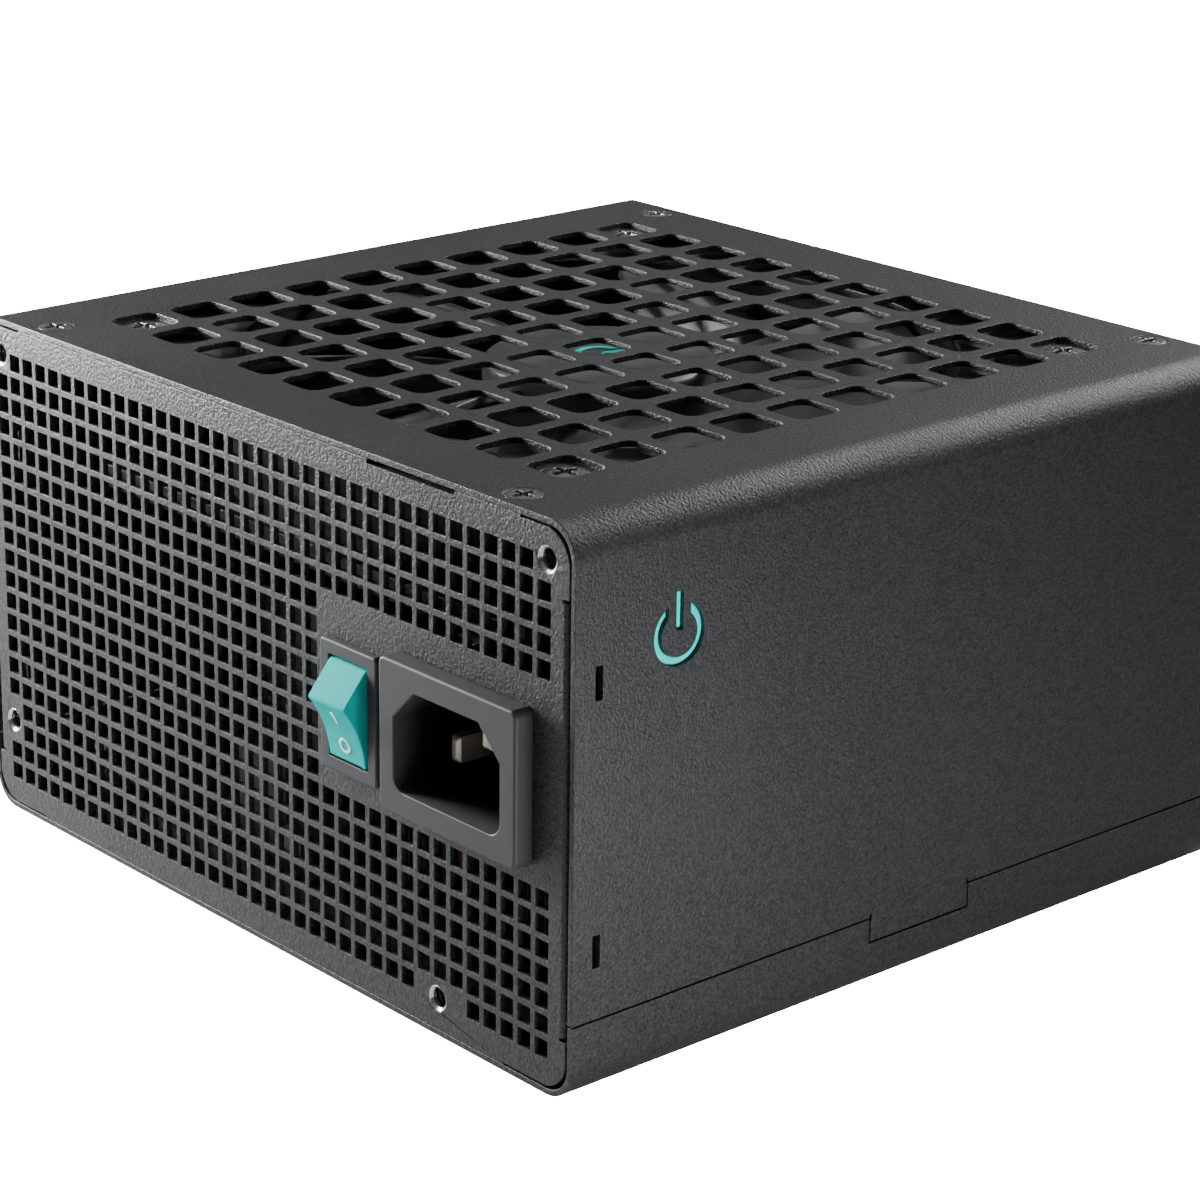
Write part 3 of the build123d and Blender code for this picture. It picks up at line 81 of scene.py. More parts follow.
ROOM_DARK = 0.01
ROOM_LIGHT = 0.22
ROOM_LIGHT_FROM = 0.8  # how far up the room reaches its full light, of 1

FLOOR_REACH = 12.0
PAINTED_POOL_CENTRE = (0.24, -0.1, 0.0)  # a painted pool of light on the paper is palest here, by the unit's right side
PAPER_NEAR, PAPER_FAR = 0.1, 0.4
PAPER_LIGHT, PAPER_DARK = 0.85, 0.12
PAPER_ROUGHNESS = 0.9
PAPER_GLOW = 30.0


def put(tree, kind, **inputs):
    """Adds a node to a tree. Each input is a plain value, or the output socket that it is joined to."""
    made = tree.nodes.new(kind)
    for label, value in inputs.items():
        feed(tree, value, made.inputs[label.replace("_", " ")])
    return made


def feed(tree, value, socket):
    """Joins an output socket to an input, or writes a plain value into it."""
    if isinstance(value, bpy.types.NodeSocket):
        tree.links.new(value, socket)
    else:
        socket.default_value = value


def maths(tree, operation, *values):
    """A Math node; returns its output."""
    made = tree.nodes.new("ShaderNodeMath")
    made.operation = operation
    for socket, value in zip(made.inputs, values):
        feed(tree, value, socket)
    return made.outputs[0]


def spread(tree, value, low, high, from_low=0.3, from_high=0.7):
    """The value brought from one range to another, clamped."""
    made = put(
        tree,
        "ShaderNodeMapRange",
        Value=value,
        From_Min=from_low,
        From_Max=from_high,
        To_Min=low,
        To_Max=high,
    )
    return made.outputs["Result"]


def object_place(tree):
    """The place on the object."""
    return put(tree, "ShaderNodeTexCoord").outputs["Object"]


def shader(name, roughness, metallic=0.0, specular=0.5):
    """A new material, its tree and its Principled shader."""
    material = bpy.data.materials.new(name)
    material.use_nodes = True
    surface = material.node_tree.nodes["Principled BSDF"]
    surface.inputs["Roughness"].default_value = roughness
    surface.inputs["Metallic"].default_value = metallic
    surface.inputs["Specular IOR Level"].default_value = specular
    return material, material.node_tree, surface


lens = bpy.data.cameras.new("lens")
lens.sensor_width = SENSOR_WIDTH
lens.lens = LENS_LENGTH
lens.shift_x, lens.shift_y = LENS_SHIFT
lens.clip_start, lens.clip_end = LENS_REACH
camera = bpy.data.objects.new("camera", lens)
bpy.context.scene.collection.objects.link(camera)
camera.matrix_world = (
    Matrix.Translation(CAMERA_PLACE)
    @ Matrix.Rotation(CAMERA_TURN, 4, "Z")
    @ Matrix.Rotation(pi / 2 - CAMERA_DIP, 4, "X")
    @ Matrix.Rotation(CAMERA_ROLL, 4, "Z")
)
bpy.context.scene.camera = camera

for name, place, target, size, power in (
    ("softbox_bend", (0.1, 0.8, 0.6), (0.07, 0, 0.08), (0.9, 0.14), 10.0),
    ("softbox_above", (-0.5, 0.6, 0.62), (0, 0, 0.08), (0.5, 0.4), 0.5),
    ("softbox_panel", (-0.22, -0.135, 0.115), (-0.05, -0.07, 0.06), (0.1, 0.1), 3.3),
    ("softbox_rims", (-0.55, -0.32, 0.6), (0, 0, 0.08), (0.15, 0.15), 1.6),
    ("softbox_side", (0.21, -0.055, 0.012), (0.075, -0.055, 0.02), (0.1, 0.02), 0.22),
):
    lamp = bpy.data.lights.new(name, "AREA")
    lamp.shape = "RECTANGLE"
    lamp.size, lamp.size_y = size
    lamp.energy = power
    stand = bpy.data.objects.new(name, lamp)
    stand.location = place
    stand.rotation_euler = (Vector(target) - Vector(place)).to_track_quat("-Z", "Y").to_euler()
    bpy.context.scene.collection.objects.link(stand)

world = bpy.data.worlds.new("room")
bpy.context.scene.world = world
world.use_nodes = True
room = world.node_tree
room_up = put(room, "ShaderNodeSeparateXYZ", Vector=put(room, "ShaderNodeTexCoord").outputs["Generated"])
room_light = spread(room, room_up.outputs["Z"], ROOM_DARK, ROOM_LIGHT, 0.0, ROOM_LIGHT_FROM)
room.links.new(room_light, room.nodes["Background"].inputs["Color"])

floor_mesh = bpy.data.meshes.new("floor")
bm = bmesh.new()
bmesh.ops.create_grid(bm, x_segments=1, y_segments=1, size=FLOOR_REACH)
bm.to_mesh(floor_mesh)
bm.free()
floor = bpy.data.objects.new("floor", floor_mesh)
bpy.context.scene.collection.objects.link(floor)
paper, paper_tree, paper_surface = shader("backdrop_paper", PAPER_ROUGHNESS)
out_from_unit = paper_tree.nodes.new("ShaderNodeVectorMath")
out_from_unit.operation = "DISTANCE"
feed(paper_tree, object_place(paper_tree), out_from_unit.inputs[0])
feed(paper_tree, PAINTED_POOL_CENTRE, out_from_unit.inputs[1])
# Painted light and shade on the paper: pale by the unit's right side and dark further out, for the unit to
# reflect and be lit by.
painted_floor_light = spread(
    paper_tree, out_from_unit.outputs["Value"], PAPER_LIGHT, PAPER_DARK, PAPER_NEAR, PAPER_FAR
)
paper_tree.links.new(painted_floor_light, paper_surface.inputs["Base Color"])
seen = put(paper_tree, "ShaderNodeLightPath").outputs["Is Camera Ray"]
glow = put(
    paper_tree,
    "ShaderNodeEmission",
    Color=(1, 1, 1, 1),
    Strength=maths(paper_tree, "MULTIPLY", seen, PAPER_GLOW),
)
both = paper_tree.nodes.new("ShaderNodeAddShader")
paper_tree.links.new(paper_surface.outputs[0], both.inputs[0])
paper_tree.links.new(glow.outputs[0], both.inputs[1])
paper_tree.links.new(both.outputs[0], paper_tree.nodes["Material Output"].inputs["Surface"])
floor_mesh.materials.append(paper)


# ---- Base tray ----
# The lower half of the shell: 1 mm steel folded up at both sides and powder coated black. The cover laps
# on to its edge, and a tab on each side drops into a notch of the tray.

POWDER_BLACK = (0.022, 0.023, 0.0245)
SHEET_EDGE = 0.12 * MM
WELD_REACH = 0.002 * MM  # points closer than this are one point
SHARP_ANGLE = radians(32)  # edges that turn by more than this are broken

CLOUD_TONE = 0.08  # the share by which slow clouds lighten and darken a colour
CLOUD_GLOSS = 0.04
CLOUD_SHARE = 0.3  # of clouds in the colour; the grains have the rest
HOLLOW_TONE = 0.2  # the tone that painted shade leaves at the deep end of a hollow
GRAIN_RELIEF = 0.6


def blend_colors(tree, factor, first, second):
    """A colour that goes from the first to the second with the factor."""
    made = tree.nodes.new("ShaderNodeMix")
    made.data_type = "RGBA"
    for socket, value in zip((made.inputs[0], made.inputs[6], made.inputs[7]), (factor, first, second)):
        feed(tree, value, socket)
    return made.outputs[2]


def raise_surface(tree, surface, height, strength, distance):
    """Gives a shader a relief that is too fine for the mesh."""
    bump = put(tree, "ShaderNodeBump", Height=height, Strength=strength, Distance=distance)
    tree.links.new(bump.outputs["Normal"], surface.inputs["Normal"])


def object_axes(tree):
    """The place on the object, as one output for each axis."""
    return put(tree, "ShaderNodeSeparateXYZ", Vector=object_place(tree)).outputs


def effect(name, inputs, outputs):
    """A shader node group with those inputs (name to default) and value outputs, and its two end nodes."""
    group = bpy.data.node_groups.new(name, "ShaderNodeTree")
    for label, value in inputs.items():
        socket = group.interface.new_socket(label, in_out="INPUT", socket_type="NodeSocketFloat")
        socket.default_value = value
    for label in outputs:
        group.interface.new_socket(label, in_out="OUTPUT", socket_type="NodeSocketFloat")
    return group, group.nodes.new("NodeGroupInput"), group.nodes.new("NodeGroupOutput")


def use(tree, group, **inputs):
    """Places a node group in a tree with its own values, and returns its outputs."""
    made = tree.nodes.new("ShaderNodeGroup")
    made.node_tree = group
    for label, value in inputs.items():
        feed(tree, value, made.inputs[label.replace("_", " ")])
    return made.outputs


# Grains that stand close together, as powder coat and moulded plastic have, over slow clouds of tone.
surface_grain, grain_in, grain_out = effect(
    "surface_grain", {"Size": 0.4 * MM, "Cloud size": 30 * MM}, ["Height", "Speckle", "Cloud"]
)
grain_place = object_place(surface_grain)
grains = put(
    surface_grain,
    "ShaderNodeTexNoise",
    Vector=grain_place,
    Scale=maths(surface_grain, "DIVIDE", 1.0, grain_in.outputs["Size"]),
    Detail=2.0,
    Roughness=0.6,
).outputs["Fac"]
clouds = put(
    surface_grain,
    "ShaderNodeTexNoise",
    Vector=grain_place,
    Scale=maths(surface_grain, "DIVIDE", 1.0, grain_in.outputs["Cloud size"]),
    Detail=3.0,
).outputs["Fac"]
surface_grain.links.new(grains, grain_out.inputs["Height"])
surface_grain.links.new(spread(surface_grain, grains, 0, 1), grain_out.inputs["Speckle"])
surface_grain.links.new(spread(surface_grain, clouds, 0, 1), grain_out.inputs["Cloud"])

# Painted shade in a hollow: none at the shallow place along an axis, all of it at the deep one.
painted_hollow_shade, hollow_in, hollow_out = effect(
    "painted_hollow_shade", {"Place": 0.0, "Shallow": 0.0, "Deep": 1.0}, ["Shade"]
)
sunk_share = spread(
    painted_hollow_shade,
    hollow_in.outputs["Place"],
    0.0,
    1.0,
    hollow_in.outputs["Shallow"],
    hollow_in.outputs["Deep"],
)
painted_hollow_shade.links.new(sunk_share, hollow_out.inputs["Shade"])


def tone(color, factor):
    """A colour made lighter or darker, with its alpha."""
    return (*[min(1.0, c * factor) for c in color], 1.0)


def grained(name, color, *, roughness, grain, depth, contrast=0.2, metallic=0.0, specular=0.5, sunk=None):
    """A painted or moulded finish: grains of a size and a depth, speckled in tone, with uneven gloss. It
    paints shade into a hollow if that is given as an axis, a shallow place and a deep place."""
    material, tree, surface = shader(name, roughness, metallic, specular)
    texture = use(tree, surface_grain, Size=grain)
    speckled = blend_colors(tree, texture["Speckle"], tone(color, 1 - contrast), tone(color, 1 + contrast))
    clouded = blend_colors(tree, texture["Cloud"], tone(color, 1 - CLOUD_TONE), tone(color, 1 + CLOUD_TONE))
    colors = blend_colors(tree, CLOUD_SHARE, speckled, clouded)
    # Painted shade: the colour darkens towards the deep place of a hollow.
    if sunk:
        axis, shallow, deep = sunk
        hollow = use(tree, painted_hollow_shade, Place=object_axes(tree)[axis], Shallow=shallow, Deep=deep)
        colors = blend_colors(tree, hollow["Shade"], colors, tone(color, HOLLOW_TONE))
    tree.links.new(colors, surface.inputs["Base Color"])
    gloss = spread(tree, texture["Cloud"], roughness - CLOUD_GLOSS, roughness + CLOUD_GLOSS, 0, 1)
    tree.links.new(gloss, surface.inputs["Roughness"])
    raise_surface(tree, surface, texture["Height"], GRAIN_RELIEF, depth)
    return material


def rounded(piece, edge, segments=2):
    """Breaks the sharp edges of a piece by a small radius."""
    bevel = piece.modifiers.new("broken_edges", "BEVEL")
    bevel.width = edge
    bevel.segments = segments
    bevel.limit_method = "ANGLE"
    bevel.angle_limit = SHARP_ANGLE
    bevel.use_clamp_overlap = False
    shading = piece.modifiers.new("flat_faces_stay_flat", "WEIGHTED_NORMAL")
    shading.mode = "FACE_AREA"
    shading.weight = 50
    return piece


def new_piece(name, bm, material, body, node):
    """Turns a bmesh into a smooth-shaded piece that rides on a body and replaces a CAD node."""
    for face in bm.faces:
        face.smooth = True
    mesh = bpy.data.meshes.new(name)
    bm.to_mesh(mesh)
    bm.free()
    mesh.materials.append(material)
    piece = bpy.data.objects.new(name, mesh)
    bpy.context.scene.collection.objects.link(piece)
    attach(piece, body)
    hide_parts(node)
    return piece


def finished(node, name, material, edge, segments=2):
    """A CAD node made ready to be seen: its triangles joined to one skin, and its edges broken."""
    source = frame["nodes"][node]
    bm = bmesh.new()
    bm.from_mesh(source.data)
    bmesh.ops.remove_doubles(bm, verts=bm.verts, dist=WELD_REACH)
    rounded(new_piece(name, bm, material, source["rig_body"], node), edge, segments)


powder_coat = grained(
    "powder_coat", POWDER_BLACK, roughness=0.42, grain=0.45 * MM, depth=0.3 * MM, contrast=1.0, specular=0.3
)
finished("base_tray", "tray_sheet", powder_coat, SHEET_EDGE)


# ---- Insulating film ----
# A flat sheet of grey plastic film that lies between the tray and the main board. It is cut round the
# standoffs, which hold it in place.


def dress(node, material, edge=0.15 * MM):
    """Gives a CAD node its finish, with its triangles joined and its edges broken."""
    piece = frame["nodes"][node]
    piece.data.materials.clear()
    piece.data.materials.append(material)
    join = piece.modifiers.new("join", "WELD")
    join.merge_threshold = WELD_REACH
    rounded(piece, edge, 1)


grey_film = grained("grey_film", (0.1, 0.1, 0.105), roughness=0.35, grain=1.5 * MM, depth=0.02 * MM)
dress("insulating_sheet", grey_film, edge=0.05 * MM)


# ---- Circuit boards ----
# Glass-fibre boards under black solder mask. Copper runs show through the mask as lighter lines, and the
# solder pads are tin. The main board is screwed down; the small ones stand on it or behind the sockets.

MASK_BLACK = (0.006, 0.009, 0.007, 1)
MASK_ON_COPPER = (0.011, 0.017, 0.013, 1)
PAD_TIN = (0.3, 0.29, 0.27, 1)
RUN_SPACING = 9 * MM
PAD_SPACING = 5 * MM
PAD_SIZE = 0.16  # of the spacing

board_print, print_in, print_out = effect("board_print", {"Across": 0.0, "Along": 0.0}, ["Run", "Pad"])
print_place = put(
    board_print, "ShaderNodeCombineXYZ", X=print_in.outputs["Across"], Y=print_in.outputs["Along"]
).outputs[0]
runs = put(
    board_print,
    "ShaderNodeTexBrick",
    Vector=print_place,
    Scale=1 / RUN_SPACING,
    Mortar_Size=0.09,
    Mortar_Smooth=0.1,
    Brick_Width=0.9,
    Row_Height=0.22,
)
pads = put(board_print, "ShaderNodeTexVoronoi", Vector=print_place, Scale=1 / PAD_SPACING, Randomness=0.6)
board_print.links.new(runs.outputs["Fac"], print_out.inputs["Run"])
in_pad = maths(board_print, "LESS_THAN", pads.outputs["Distance"], PAD_SIZE)
board_print.links.new(in_pad, print_out.inputs["Pad"])


def printed_board(name, across, along):
    """Solder mask, copper runs and tin pads, laid out on two of the axes."""
    material, tree, surface = shader(name, 0.35)
    place = object_axes(tree)
    layout = use(tree, board_print, Across=place[across], Along=place[along])
    mask = blend_colors(tree, layout["Run"], MASK_BLACK, MASK_ON_COPPER)
    tree.links.new(blend_colors(tree, layout["Pad"], mask, PAD_TIN), surface.inputs["Base Color"])
    tree.links.new(layout["Pad"], surface.inputs["Metallic"])
    raise_surface(tree, surface, maths(tree, "ADD", layout["Run"], layout["Pad"]), 0.5, 0.05 * MM)
    return material


dress("main_board", printed_board("board_lying", "X", "Y"))
board_upright = printed_board("board_upright", "X", "Z")
for board in ("inlet_board", "socket_board", "control_board"):
    dress(board, board_upright)
dress("converter_board", printed_board("board_sideways", "Y", "Z"))


# ---- Standoffs and board screws ----
# Hexagonal steel standoffs pressed into the tray, and zinc-plated cross-head screws that hold the main
# board down on them.

MARK_STRETCH = 0.08  # working marks are this much wider than they are spaced
MARK_DARK, MARK_LIGHT = 0.85, 1.1
MARK_SMOOTH, MARK_ROUGH = 0.08, 0.1
MARK_RELIEF = 0.4

turned_lines, lines_in, lines_out = effect("turned_lines", {"Spacing": 0.08 * MM}, ["Height", "Streak"])
lines_squash = put(
    turned_lines,
    "ShaderNodeMapping",
    Vector=object_place(turned_lines),
    Scale=(1.0, MARK_STRETCH, MARK_STRETCH),
)
lines = put(
    turned_lines,
    "ShaderNodeTexNoise",
    Vector=lines_squash.outputs[0],
    Scale=maths(turned_lines, "DIVIDE", 1.0, lines_in.outputs["Spacing"]),
    Detail=3.0,
).outputs["Fac"]
turned_lines.links.new(lines, lines_out.inputs["Height"])
turned_lines.links.new(spread(turned_lines, lines, 0, 1), lines_out.inputs["Streak"])


def bare_metal(name, color, roughness):
    """Bare or plated metal with fine working marks."""
    material, tree, surface = shader(name, roughness, 1.0)
    marks = use(tree, turned_lines, Spacing=0.1 * MM)
    colors = blend_colors(tree, marks["Streak"], tone(color, MARK_DARK), tone(color, MARK_LIGHT))
    tree.links.new(colors, surface.inputs["Base Color"])
    gloss = spread(tree, marks["Streak"], roughness - MARK_SMOOTH, roughness + MARK_ROUGH, 0, 1)
    tree.links.new(gloss, surface.inputs["Roughness"])
    raise_surface(tree, surface, marks["Height"], MARK_RELIEF, 0.01 * MM)
    return material


zinc = bare_metal("zinc_plate", (0.4, 0.39, 0.37), 0.35)
bare_steel = bare_metal("bare_steel", (0.72, 0.71, 0.69), 0.22)
dress("board_standoffs", bare_steel)
dress("board_screws", zinc)


# ---- Mains side: filter, fuse, thermistor, relay, rectifier, power factor choke ----
# Boxed film capacitors, ferrite rings wound with enamelled copper, a ceramic fuse, a dark green disc
# thermistor, and black epoxy parts clamped to black anodised heatsinks. All are soldered to the main board.
# The copper and the fuse are coloured far darker than they are, as painted shade of the unit's inside.

# Painted shade: both enamel colours are far darker than copper, for the shade inside the unit, and the darker
# one fills the grooves between turns.
ENAMEL_GROOVE_SHADED = (0.01, 0.005, 0.003, 1)
ENAMEL_TOP_SHADED = (0.04, 0.018, 0.01, 1)

film_box = grained(
    "film_box", (0.03, 0.03, 0.032), roughness=0.35, grain=0.8 * MM, depth=0.02 * MM, contrast=0.08
)
dress("film_capacitors", film_box, edge=0.3 * MM)
ferrite = grained(
    "ferrite", (0.035, 0.035, 0.038), roughness=0.6, grain=0.3 * MM, depth=0.04 * MM, contrast=0.35
)
for core in (
    "filter_choke_cores",
    "boost_choke_core",
    "output_choke_cores",
    "main_transformer_core",
    "standby_transformer_core",
):
    dress(core, ferrite, edge=0.2 * MM)

# Wire wound turn against turn: from the groove between two turns to the top of each.
wound_wire, wire_in, wire_out = effect("wound_wire", {"Wire": 1.0 * MM}, ["Turn"])
turns = put(
    wound_wire,
    "ShaderNodeTexWave",
    Vector=object_place(wound_wire),
    Scale=maths(wound_wire, "DIVIDE", pi / 10, wire_in.outputs["Wire"]),
    Distortion=1.5,
    Detail=0.0,
)
wound_wire.links.new(turns.outputs["Fac"], wire_out.inputs["Turn"])


def enamelled(name, wire):
    """Enamelled copper wire of a thickness, coloured near black as painted shade of the unit's inside, with
    painted shade in the grooves between turns.
    """
    material, tree, surface = shader(name, 0.28, 1.0)
    turn = use(tree, wound_wire, Wire=wire)["Turn"]
    tree.links.new(blend_colors(tree, turn, ENAMEL_GROOVE_SHADED, ENAMEL_TOP_SHADED), surface.inputs["Base Color"])
    raise_surface(tree, surface, turn, 0.8, wire / 3)
    return material


for winding, wire in (
    ("filter_choke_windings", 1.2 * MM),
    ("boost_choke_winding", 1.4 * MM),
    ("output_choke_windings", 1.1 * MM),
    ("fan_coils", 0.3 * MM),
):
    dress(winding, enamelled("enamel_of_" + winding, wire), edge=0.1 * MM)

# The fuse's ceramic is coloured dark grey, far darker than it is, as painted shade of the unit's inside.
for node, name, color, roughness, grain, depth, contrast in (
    ("fuse", "fuse_ceramic", (0.1, 0.097, 0.09), 0.3, 0.5, 0.01, 0.05),
    ("thermistor", "thermistor_lacquer", (0.02, 0.07, 0.045), 0.4, 0.6, 0.05, 0.15),
    ("inrush_relay", "relay_case", (0.02, 0.02, 0.022), 0.4, 0.4, 0.02, 0.1),
):
    dress(
        node,
        grained(name, color, roughness=roughness, grain=grain * MM, depth=depth * MM, contrast=contrast),
    )
epoxy = grained("epoxy", (0.02, 0.02, 0.021), roughness=0.55, grain=0.25 * MM, depth=0.03 * MM)
dress("bridge_rectifier", epoxy)
dress("power_transistors", epoxy)
anodised = grained(
    "black_anodised", (0.022, 0.022, 0.024), roughness=0.4, grain=0.2 * MM, depth=0.02 * MM, contrast=0.15
)
dress("primary_heatsink", anodised)
dress("secondary_heatsink", anodised)


# ---- Capacitors ----
# Aluminium cans soldered to the board, in a black shrink sleeve that laps over the rim. The top with its
# vent cross stays bare.

SLEEVE_DARK = (0.008, 0.009, 0.014, 1)
SLEEVE_LIGHT = (0.012, 0.013, 0.02, 1)
CAN_ALUMINIUM = (0.3, 0.3, 0.3, 1)
BARE_TOP = 0.05 * MM


def sleeved(name, node):
    """A shrink sleeve up to the can's rim, bare aluminium above it."""
    material, tree, surface = shader(name, 0.25)
    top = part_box(node)[1].z
    bare = maths(tree, "GREATER_THAN", object_axes(tree)["Z"], top - BARE_TOP)
    grain = use(tree, surface_grain, Size=0.7 * MM)
    sleeve = blend_colors(tree, grain["Speckle"], SLEEVE_DARK, SLEEVE_LIGHT)
    tree.links.new(blend_colors(tree, bare, sleeve, CAN_ALUMINIUM), surface.inputs["Base Color"])
    tree.links.new(bare, surface.inputs["Metallic"])
    raise_surface(tree, surface, grain["Height"], 0.3, 0.02 * MM)
    return material


dress("bulk_capacitors", sleeved("bulk_sleeve", "bulk_capacitors"), edge=0.3 * MM)
dress("output_capacitors", sleeved("output_sleeve", "output_capacitors"), edge=0.2 * MM)


# ---- Transformer windings ----
# Layers of wire round the ferrite cores, under dark amber polyester tape. The edges of the tape show as
# fine steps.

TAPE_DARK = (0.05, 0.035, 0.006, 1)
TAPE_LIGHT = (0.08, 0.055, 0.01, 1)
LAP_SPACING = 12 * MM

tape, tape_tree, tape_surface = shader("winding_tape", 0.3)
laps = put(
    tape_tree,
    "ShaderNodeTexWave",
    Vector=object_place(tape_tree),
    Scale=1 / LAP_SPACING,
    Distortion=0.6,
    Detail=1.0,
)
laps.bands_direction = "Z"
tape_color = blend_colors(tape_tree, laps.outputs["Fac"], TAPE_DARK, TAPE_LIGHT)
tape_tree.links.new(tape_color, tape_surface.inputs["Base Color"])
raise_surface(tape_tree, tape_surface, laps.outputs["Fac"], 0.5, 0.06 * MM)
dress("main_transformer_winding", tape)
dress("standby_transformer_winding", tape)


# ---- Output sockets, their pins and the bus bars ----
# Black nylon housings whose cells hold square tin-plated pins; copper bars carry the current up to the
# board behind them.

SOCKET_EDGE = 0.12 * MM

nylon = grained(
    "black_nylon", (0.018, 0.018, 0.019), roughness=0.42, grain=0.35 * MM, depth=0.03 * MM, contrast=0.15
)
for node, name in (
    ("socket_24_pin", "main_socket_housing"),
    ("sockets_8_pin", "eight_way_housings"),
    ("sockets_6_pin", "six_way_housings"),
):
    finished(node, name, nylon, SOCKET_EDGE)
tinned = bare_metal("tinned_brass", (0.6, 0.56, 0.48), 0.3)
dress("socket_pins", tinned)
dress("bus_bars", bare_metal("copper_bar", (0.8, 0.38, 0.2), 0.3))


# ---- Rear and front panels ----
# Flat steel plates inside the shell, powder coated like it. The front one is punched with square holes
# all over, for the air that the fan drives through; their flanges are fixed to the cover and the tray.

PUNCHED_EDGE = 0.1 * MM

finished("rear_panel", "rear_panel_sheet", powder_coat, SHEET_EDGE)
finished("front_panel", "front_panel_sheet", powder_coat, PUNCHED_EDGE)


# ---- Mounting nuts ----
# Bare steel nuts clinched into the panel, for the case screws: a flush ring with a countersunk mouth and
# a threaded bore.

NUT_RIM = 2.05 * MM
NUT_BARREL = 3.0 * MM
NUT_BORE = 1.4 * MM
NUT_MOUTH = 0.5 * MM  # how much wider than the bore the mouth is, and how deep
NUT_STEP = 1.0 * MM  # from the front to the wider barrel
THREAD_START = 0.7 * MM
THREAD_PITCH = 0.79 * MM
THREAD_DEPTH = 0.3 * MM
THREAD_TURNS = 5


def spun(bm, profile, steps):
    """Spins a closed or axis-to-axis profile of (radius, height) points a full turn about Z."""
    before = set(bm.verts)
    points = [bm.verts.new((radius, 0, height)) for radius, height in profile]
    pairs = list(zip(points, points[1:]))
    if profile[0][0] > 0:
        pairs.append((points[-1], points[0]))
    edges = [bm.edges.new(pair) for pair in pairs]
    bmesh.ops.spin(
        bm, geom=points + edges, cent=(0, 0, 0), axis=(0, 0, 1), angle=2 * pi, steps=steps, use_merge=True
    )
    made = [v for v in bm.verts if v not in before]
    bmesh.ops.remove_doubles(bm, verts=made, dist=0.001 * MM)
    bmesh.ops.recalc_face_normals(bm, faces=bm.faces)
    return [v for v in bm.verts if v not in before]


nut_low, nut_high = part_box("mounting_nuts")
nut_front = nut_low.y
nut_length = nut_high.y - nut_low.y
nut_profile = [(NUT_RIM, 0), (NUT_BORE + NUT_MOUTH, 0), (NUT_BORE, -NUT_MOUTH)]
for i in range(THREAD_TURNS):
    depth = -(THREAD_START + i * THREAD_PITCH)
    nut_profile += [(NUT_BORE + THREAD_DEPTH, depth), (NUT_BORE, depth - THREAD_PITCH / 2)]
nut_profile += [
    (NUT_BORE, -nut_length),
    (NUT_BARREL, -nut_length),
    (NUT_BARREL, -NUT_STEP),
    (NUT_RIM, -NUT_STEP),
]
bm = bmesh.new()
for mount in frame["record"]["mounts"]:
    if mount["kind"] == "threaded_hole":
        made = spun(bm, nut_profile, 48)
        place = Matrix.Translation((mount["pos_m"][0], nut_front, mount["pos_m"][2]))
        bmesh.ops.transform(bm, matrix=place @ Matrix.Rotation(pi / 2, 4, "X"), verts=made)
# The steel darkens from the mouth into the bore, as painted shade.
nut_steel = grained(
    "nut_steel",
    (0.55, 0.54, 0.52),
    roughness=0.25,
    grain=0.4 * MM,
    depth=0.01 * MM,
    contrast=0.1,
    metallic=1.0,
    sunk=("Y", nut_front + 0.2 * MM, nut_front + 0.9 * MM),
)
rounded(new_piece("clinched_nuts", bm, nut_steel, "case", "mounting_nuts"), 0.08 * MM)


# ---- Mains inlet ----
# A moulded grey housing, its flange proud of the panel, with a keyed cavity for the cord's connector and
# three nickel-plated blades.

PANEL_FACE = -70.0 * MM

# The grey darkens from 1.5 mm in front of the panel's face to 2.5 mm behind it: painted shade in the inlet's
# cavity and at the foot of the flange.
moulded_grey = grained(
    "moulded_grey",
    (0.042, 0.043, 0.045),
    roughness=0.5,
    grain=0.25 * MM,
    depth=0.02 * MM,
    contrast=0.12,
    specular=0.25,
    sunk=("Y", PANEL_FACE - 1.5 * MM, PANEL_FACE + 2.5 * MM),
)
finished("inlet_housing", "inlet_moulding", moulded_grey, 0.25 * MM, 3)
nickel = grained(
    "nickel_plate",
    (0.5, 0.46, 0.4),
    roughness=0.32,
    grain=0.3 * MM,
    depth=0.01 * MM,
    contrast=0.1,
    metallic=0.5,
)
finished("inlet_pins", "inlet_blades", nickel, 0.15 * MM)


# ---- Rocker switch ----
# A grey housing with a bezel on the panel. The cyan rocker is satin plastic with a hollow face, and its two
# white symbols are printed on it. Under it a plunger tips the copper contact lever.

# The bezel has the same painted shade towards the panel.
finished("switch_housing", "switch_bezel", moulded_grey, 0.2 * MM, 3)
cyan = grained(
    "cyan_plastic",
    (0.0, 0.44, 0.42),
    roughness=0.5,
    grain=0.5 * MM,
    depth=0.006 * MM,
    contrast=0.03,
    specular=0.02,
)
finished("switch_rocker", "rocker_cap", cyan, 0.22 * MM, 3)
white_ink = grained(
    "white_ink", (0.85, 0.9, 0.9), roughness=0.5, grain=0.2 * MM, depth=0.005 * MM, contrast=0.04
)
finished("rocker_symbols", "rocker_print", white_ink, 0.02 * MM, 1)
dress("switch_plunger", nylon)
dress("contact_lever", bare_metal("contact_copper", (0.78, 0.4, 0.22), 0.3), edge=0.08 * MM)
dress("switch_terminals", tinned, edge=0.08 * MM)


# ---- Fan ----
# A 120 mm fan under the grille: a glass-filled nylon frame with four struts, a steel stator with copper
# coils, a bronze bearing, and a seven-bladed impeller moulded round a magnet ring and a steel shaft.

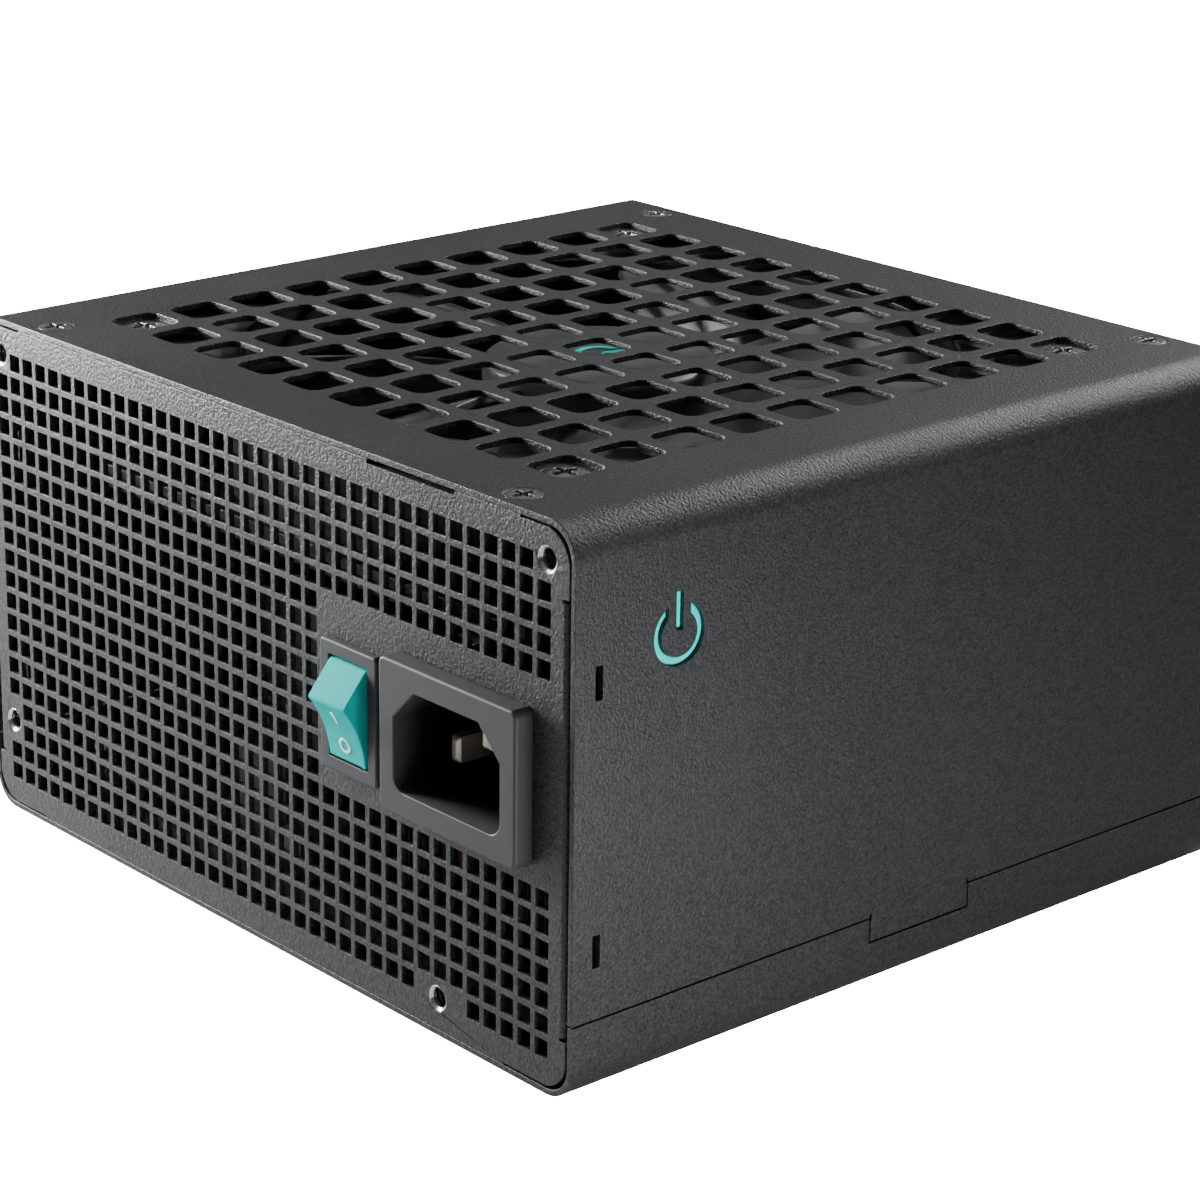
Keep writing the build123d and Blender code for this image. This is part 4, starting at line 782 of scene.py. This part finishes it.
HUB_RADIUS = 19.0 * MM
HUB_INSIDE = 17.4 * MM
HUB_ROOF = 2.0 * MM
HUB_SHOULDER = ((1.3, 0.0), (0.4, 0.5), (0.0, 1.4))  # mm in from the wall, and mm down from the top
HUB_OVERLAP = 1.5 * MM  # how far the hub's skirt reaches below the magnet ring
BLADE_COUNT = 7
BLADE_WALL = 1.5 * MM
BLADE_MIDDLE = 72.0 * MM
BLADE_IN_HUB = 0.5 * MM
BLADE_CHORD = (19.0, 33.0, 45.0)  # mm at the root, halfway and at the tip
BLADE_PITCH = (46.0, 33.5, 24.5)  # degrees at the same places
BLADE_SWEEP = 12.0  # degrees that the tip runs ahead of the root
BLADE_CAMBER = 0.09  # of the chord

fan_plastic = grained(
    "fan_frame_plastic", (0.012, 0.012, 0.013), roughness=0.45, grain=0.4 * MM, depth=0.03 * MM, contrast=0.12
)
finished("fan_frame", "fan_frame_moulding", fan_plastic, 0.3 * MM)
dress("fan_board", printed_board("fan_board_print", "X", "Y"))
dress("fan_stator", bare_metal("stator_steel", (0.35, 0.34, 0.33), 0.45))
dress("fan_bearing", bare_metal("sintered_bronze", (0.5, 0.33, 0.17), 0.4))
dress("fan_shaft", bare_steel)
magnet = grained("magnet", (0.06, 0.055, 0.055), roughness=0.6, grain=0.3 * MM, depth=0.03 * MM)
dress("fan_magnet_ring", magnet)

blade_root = HUB_INSIDE + BLADE_IN_HUB
blade_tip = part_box("fan_impeller")[1].x
hub_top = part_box("fan_impeller")[1].z
hub_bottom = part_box("fan_magnet_ring")[0].z - HUB_OVERLAP


def between(first, middle, last, share):
    """A value that runs smoothly from the first through the middle to the last as the share goes 0 to 1."""
    pull = 2 * middle - (first + last) / 2
    return first * (1 - share) ** 2 + 2 * pull * share * (1 - share) + last * share**2


impeller_plastic = grained(
    "impeller_plastic", (0.07, 0.07, 0.073), roughness=0.42, grain=0.5 * MM, depth=0.008 * MM, contrast=0.06
)
bm = bmesh.new()
hub_profile = [
    (0, hub_top),
    *[(HUB_RADIUS - inward * MM, hub_top - down * MM) for inward, down in HUB_SHOULDER],
    (HUB_RADIUS, hub_bottom),
    (HUB_INSIDE, hub_bottom),
    (HUB_INSIDE, hub_top - HUB_ROOF),
    (0, hub_top - HUB_ROOF),
]
spun(bm, hub_profile, 96)
for blade in range(BLADE_COUNT):
    made = bmesh.ops.create_grid(bm, x_segments=16, y_segments=18, size=0.5)["verts"]
    for vertex in made:
        along, out = vertex.co.x, vertex.co.y + 0.5
        radius = blade_root + out * (blade_tip - blade_root)
        chord = between(*BLADE_CHORD, out) * MM
        pitch = radians(between(*BLADE_PITCH, out))
        lift = BLADE_CAMBER * chord * (1 - 4 * along**2)
        forward = along * chord * cos(pitch) - lift * sin(pitch)
        rise = along * chord * sin(pitch) + lift * cos(pitch)
        angle = 2 * pi * blade / BLADE_COUNT + radians(BLADE_SWEEP * out) + forward / radius
        vertex.co = (radius * cos(angle), radius * sin(angle), BLADE_MIDDLE + rise)
    skin = list(dict.fromkeys(face for vertex in made for face in vertex.link_faces))
    bmesh.ops.recalc_face_normals(bm, faces=skin)
    bmesh.ops.solidify(bm, geom=skin, thickness=BLADE_WALL)
impeller = new_piece(
    "impeller_moulding", bm, impeller_plastic, "fan_rotor", "fan_impeller"
)
rounded(impeller, 0.35 * MM, 3)
cyan_print = grained(
    "cyan_print",
    (0.0, 0.9, 0.86),
    roughness=0.45,
    grain=0.4 * MM,
    depth=0.005 * MM,
    contrast=0.05,
    specular=0.1,
)
finished("fan_hub_mark", "hub_print", cyan_print, 0.03 * MM, 1)


# ---- Cover, its screws and the mark on its side ----
# The upper half of the shell: 1 mm steel folded down both sides, powder coated, punched over the fan with
# a grid of round-cornered square holes. Black cross-head screws hold it to the panels, and the fan to the
# four corner cells that are pressed down.

RECESS_SHALLOW, RECESS_DEEP = 0.5 * MM, 1.0 * MM  # below the top of a screw's head, where painted shade darkens its cross

finished("cover", "cover_sheet", powder_coat, SHEET_EDGE)
for node, name in (("cover_screws", "cover_screw_heads"), ("fan_screws", "fan_screw_heads")):
    head_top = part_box(node)[1].z
    # The black darkens into the cross recess, as painted shade.
    screw_black = grained(
        f"{name}_black",
        (0.1, 0.1, 0.102),
        roughness=0.32,
        grain=0.3 * MM,
        depth=0.02 * MM,
        metallic=0.6,
        sunk=("Z", head_top - RECESS_SHALLOW, head_top - RECESS_DEEP),
    )
    finished(node, name, screw_black, 0.12 * MM)
finished("side_mark", "side_mark_plate", cyan_print, 0.05 * MM, 1)
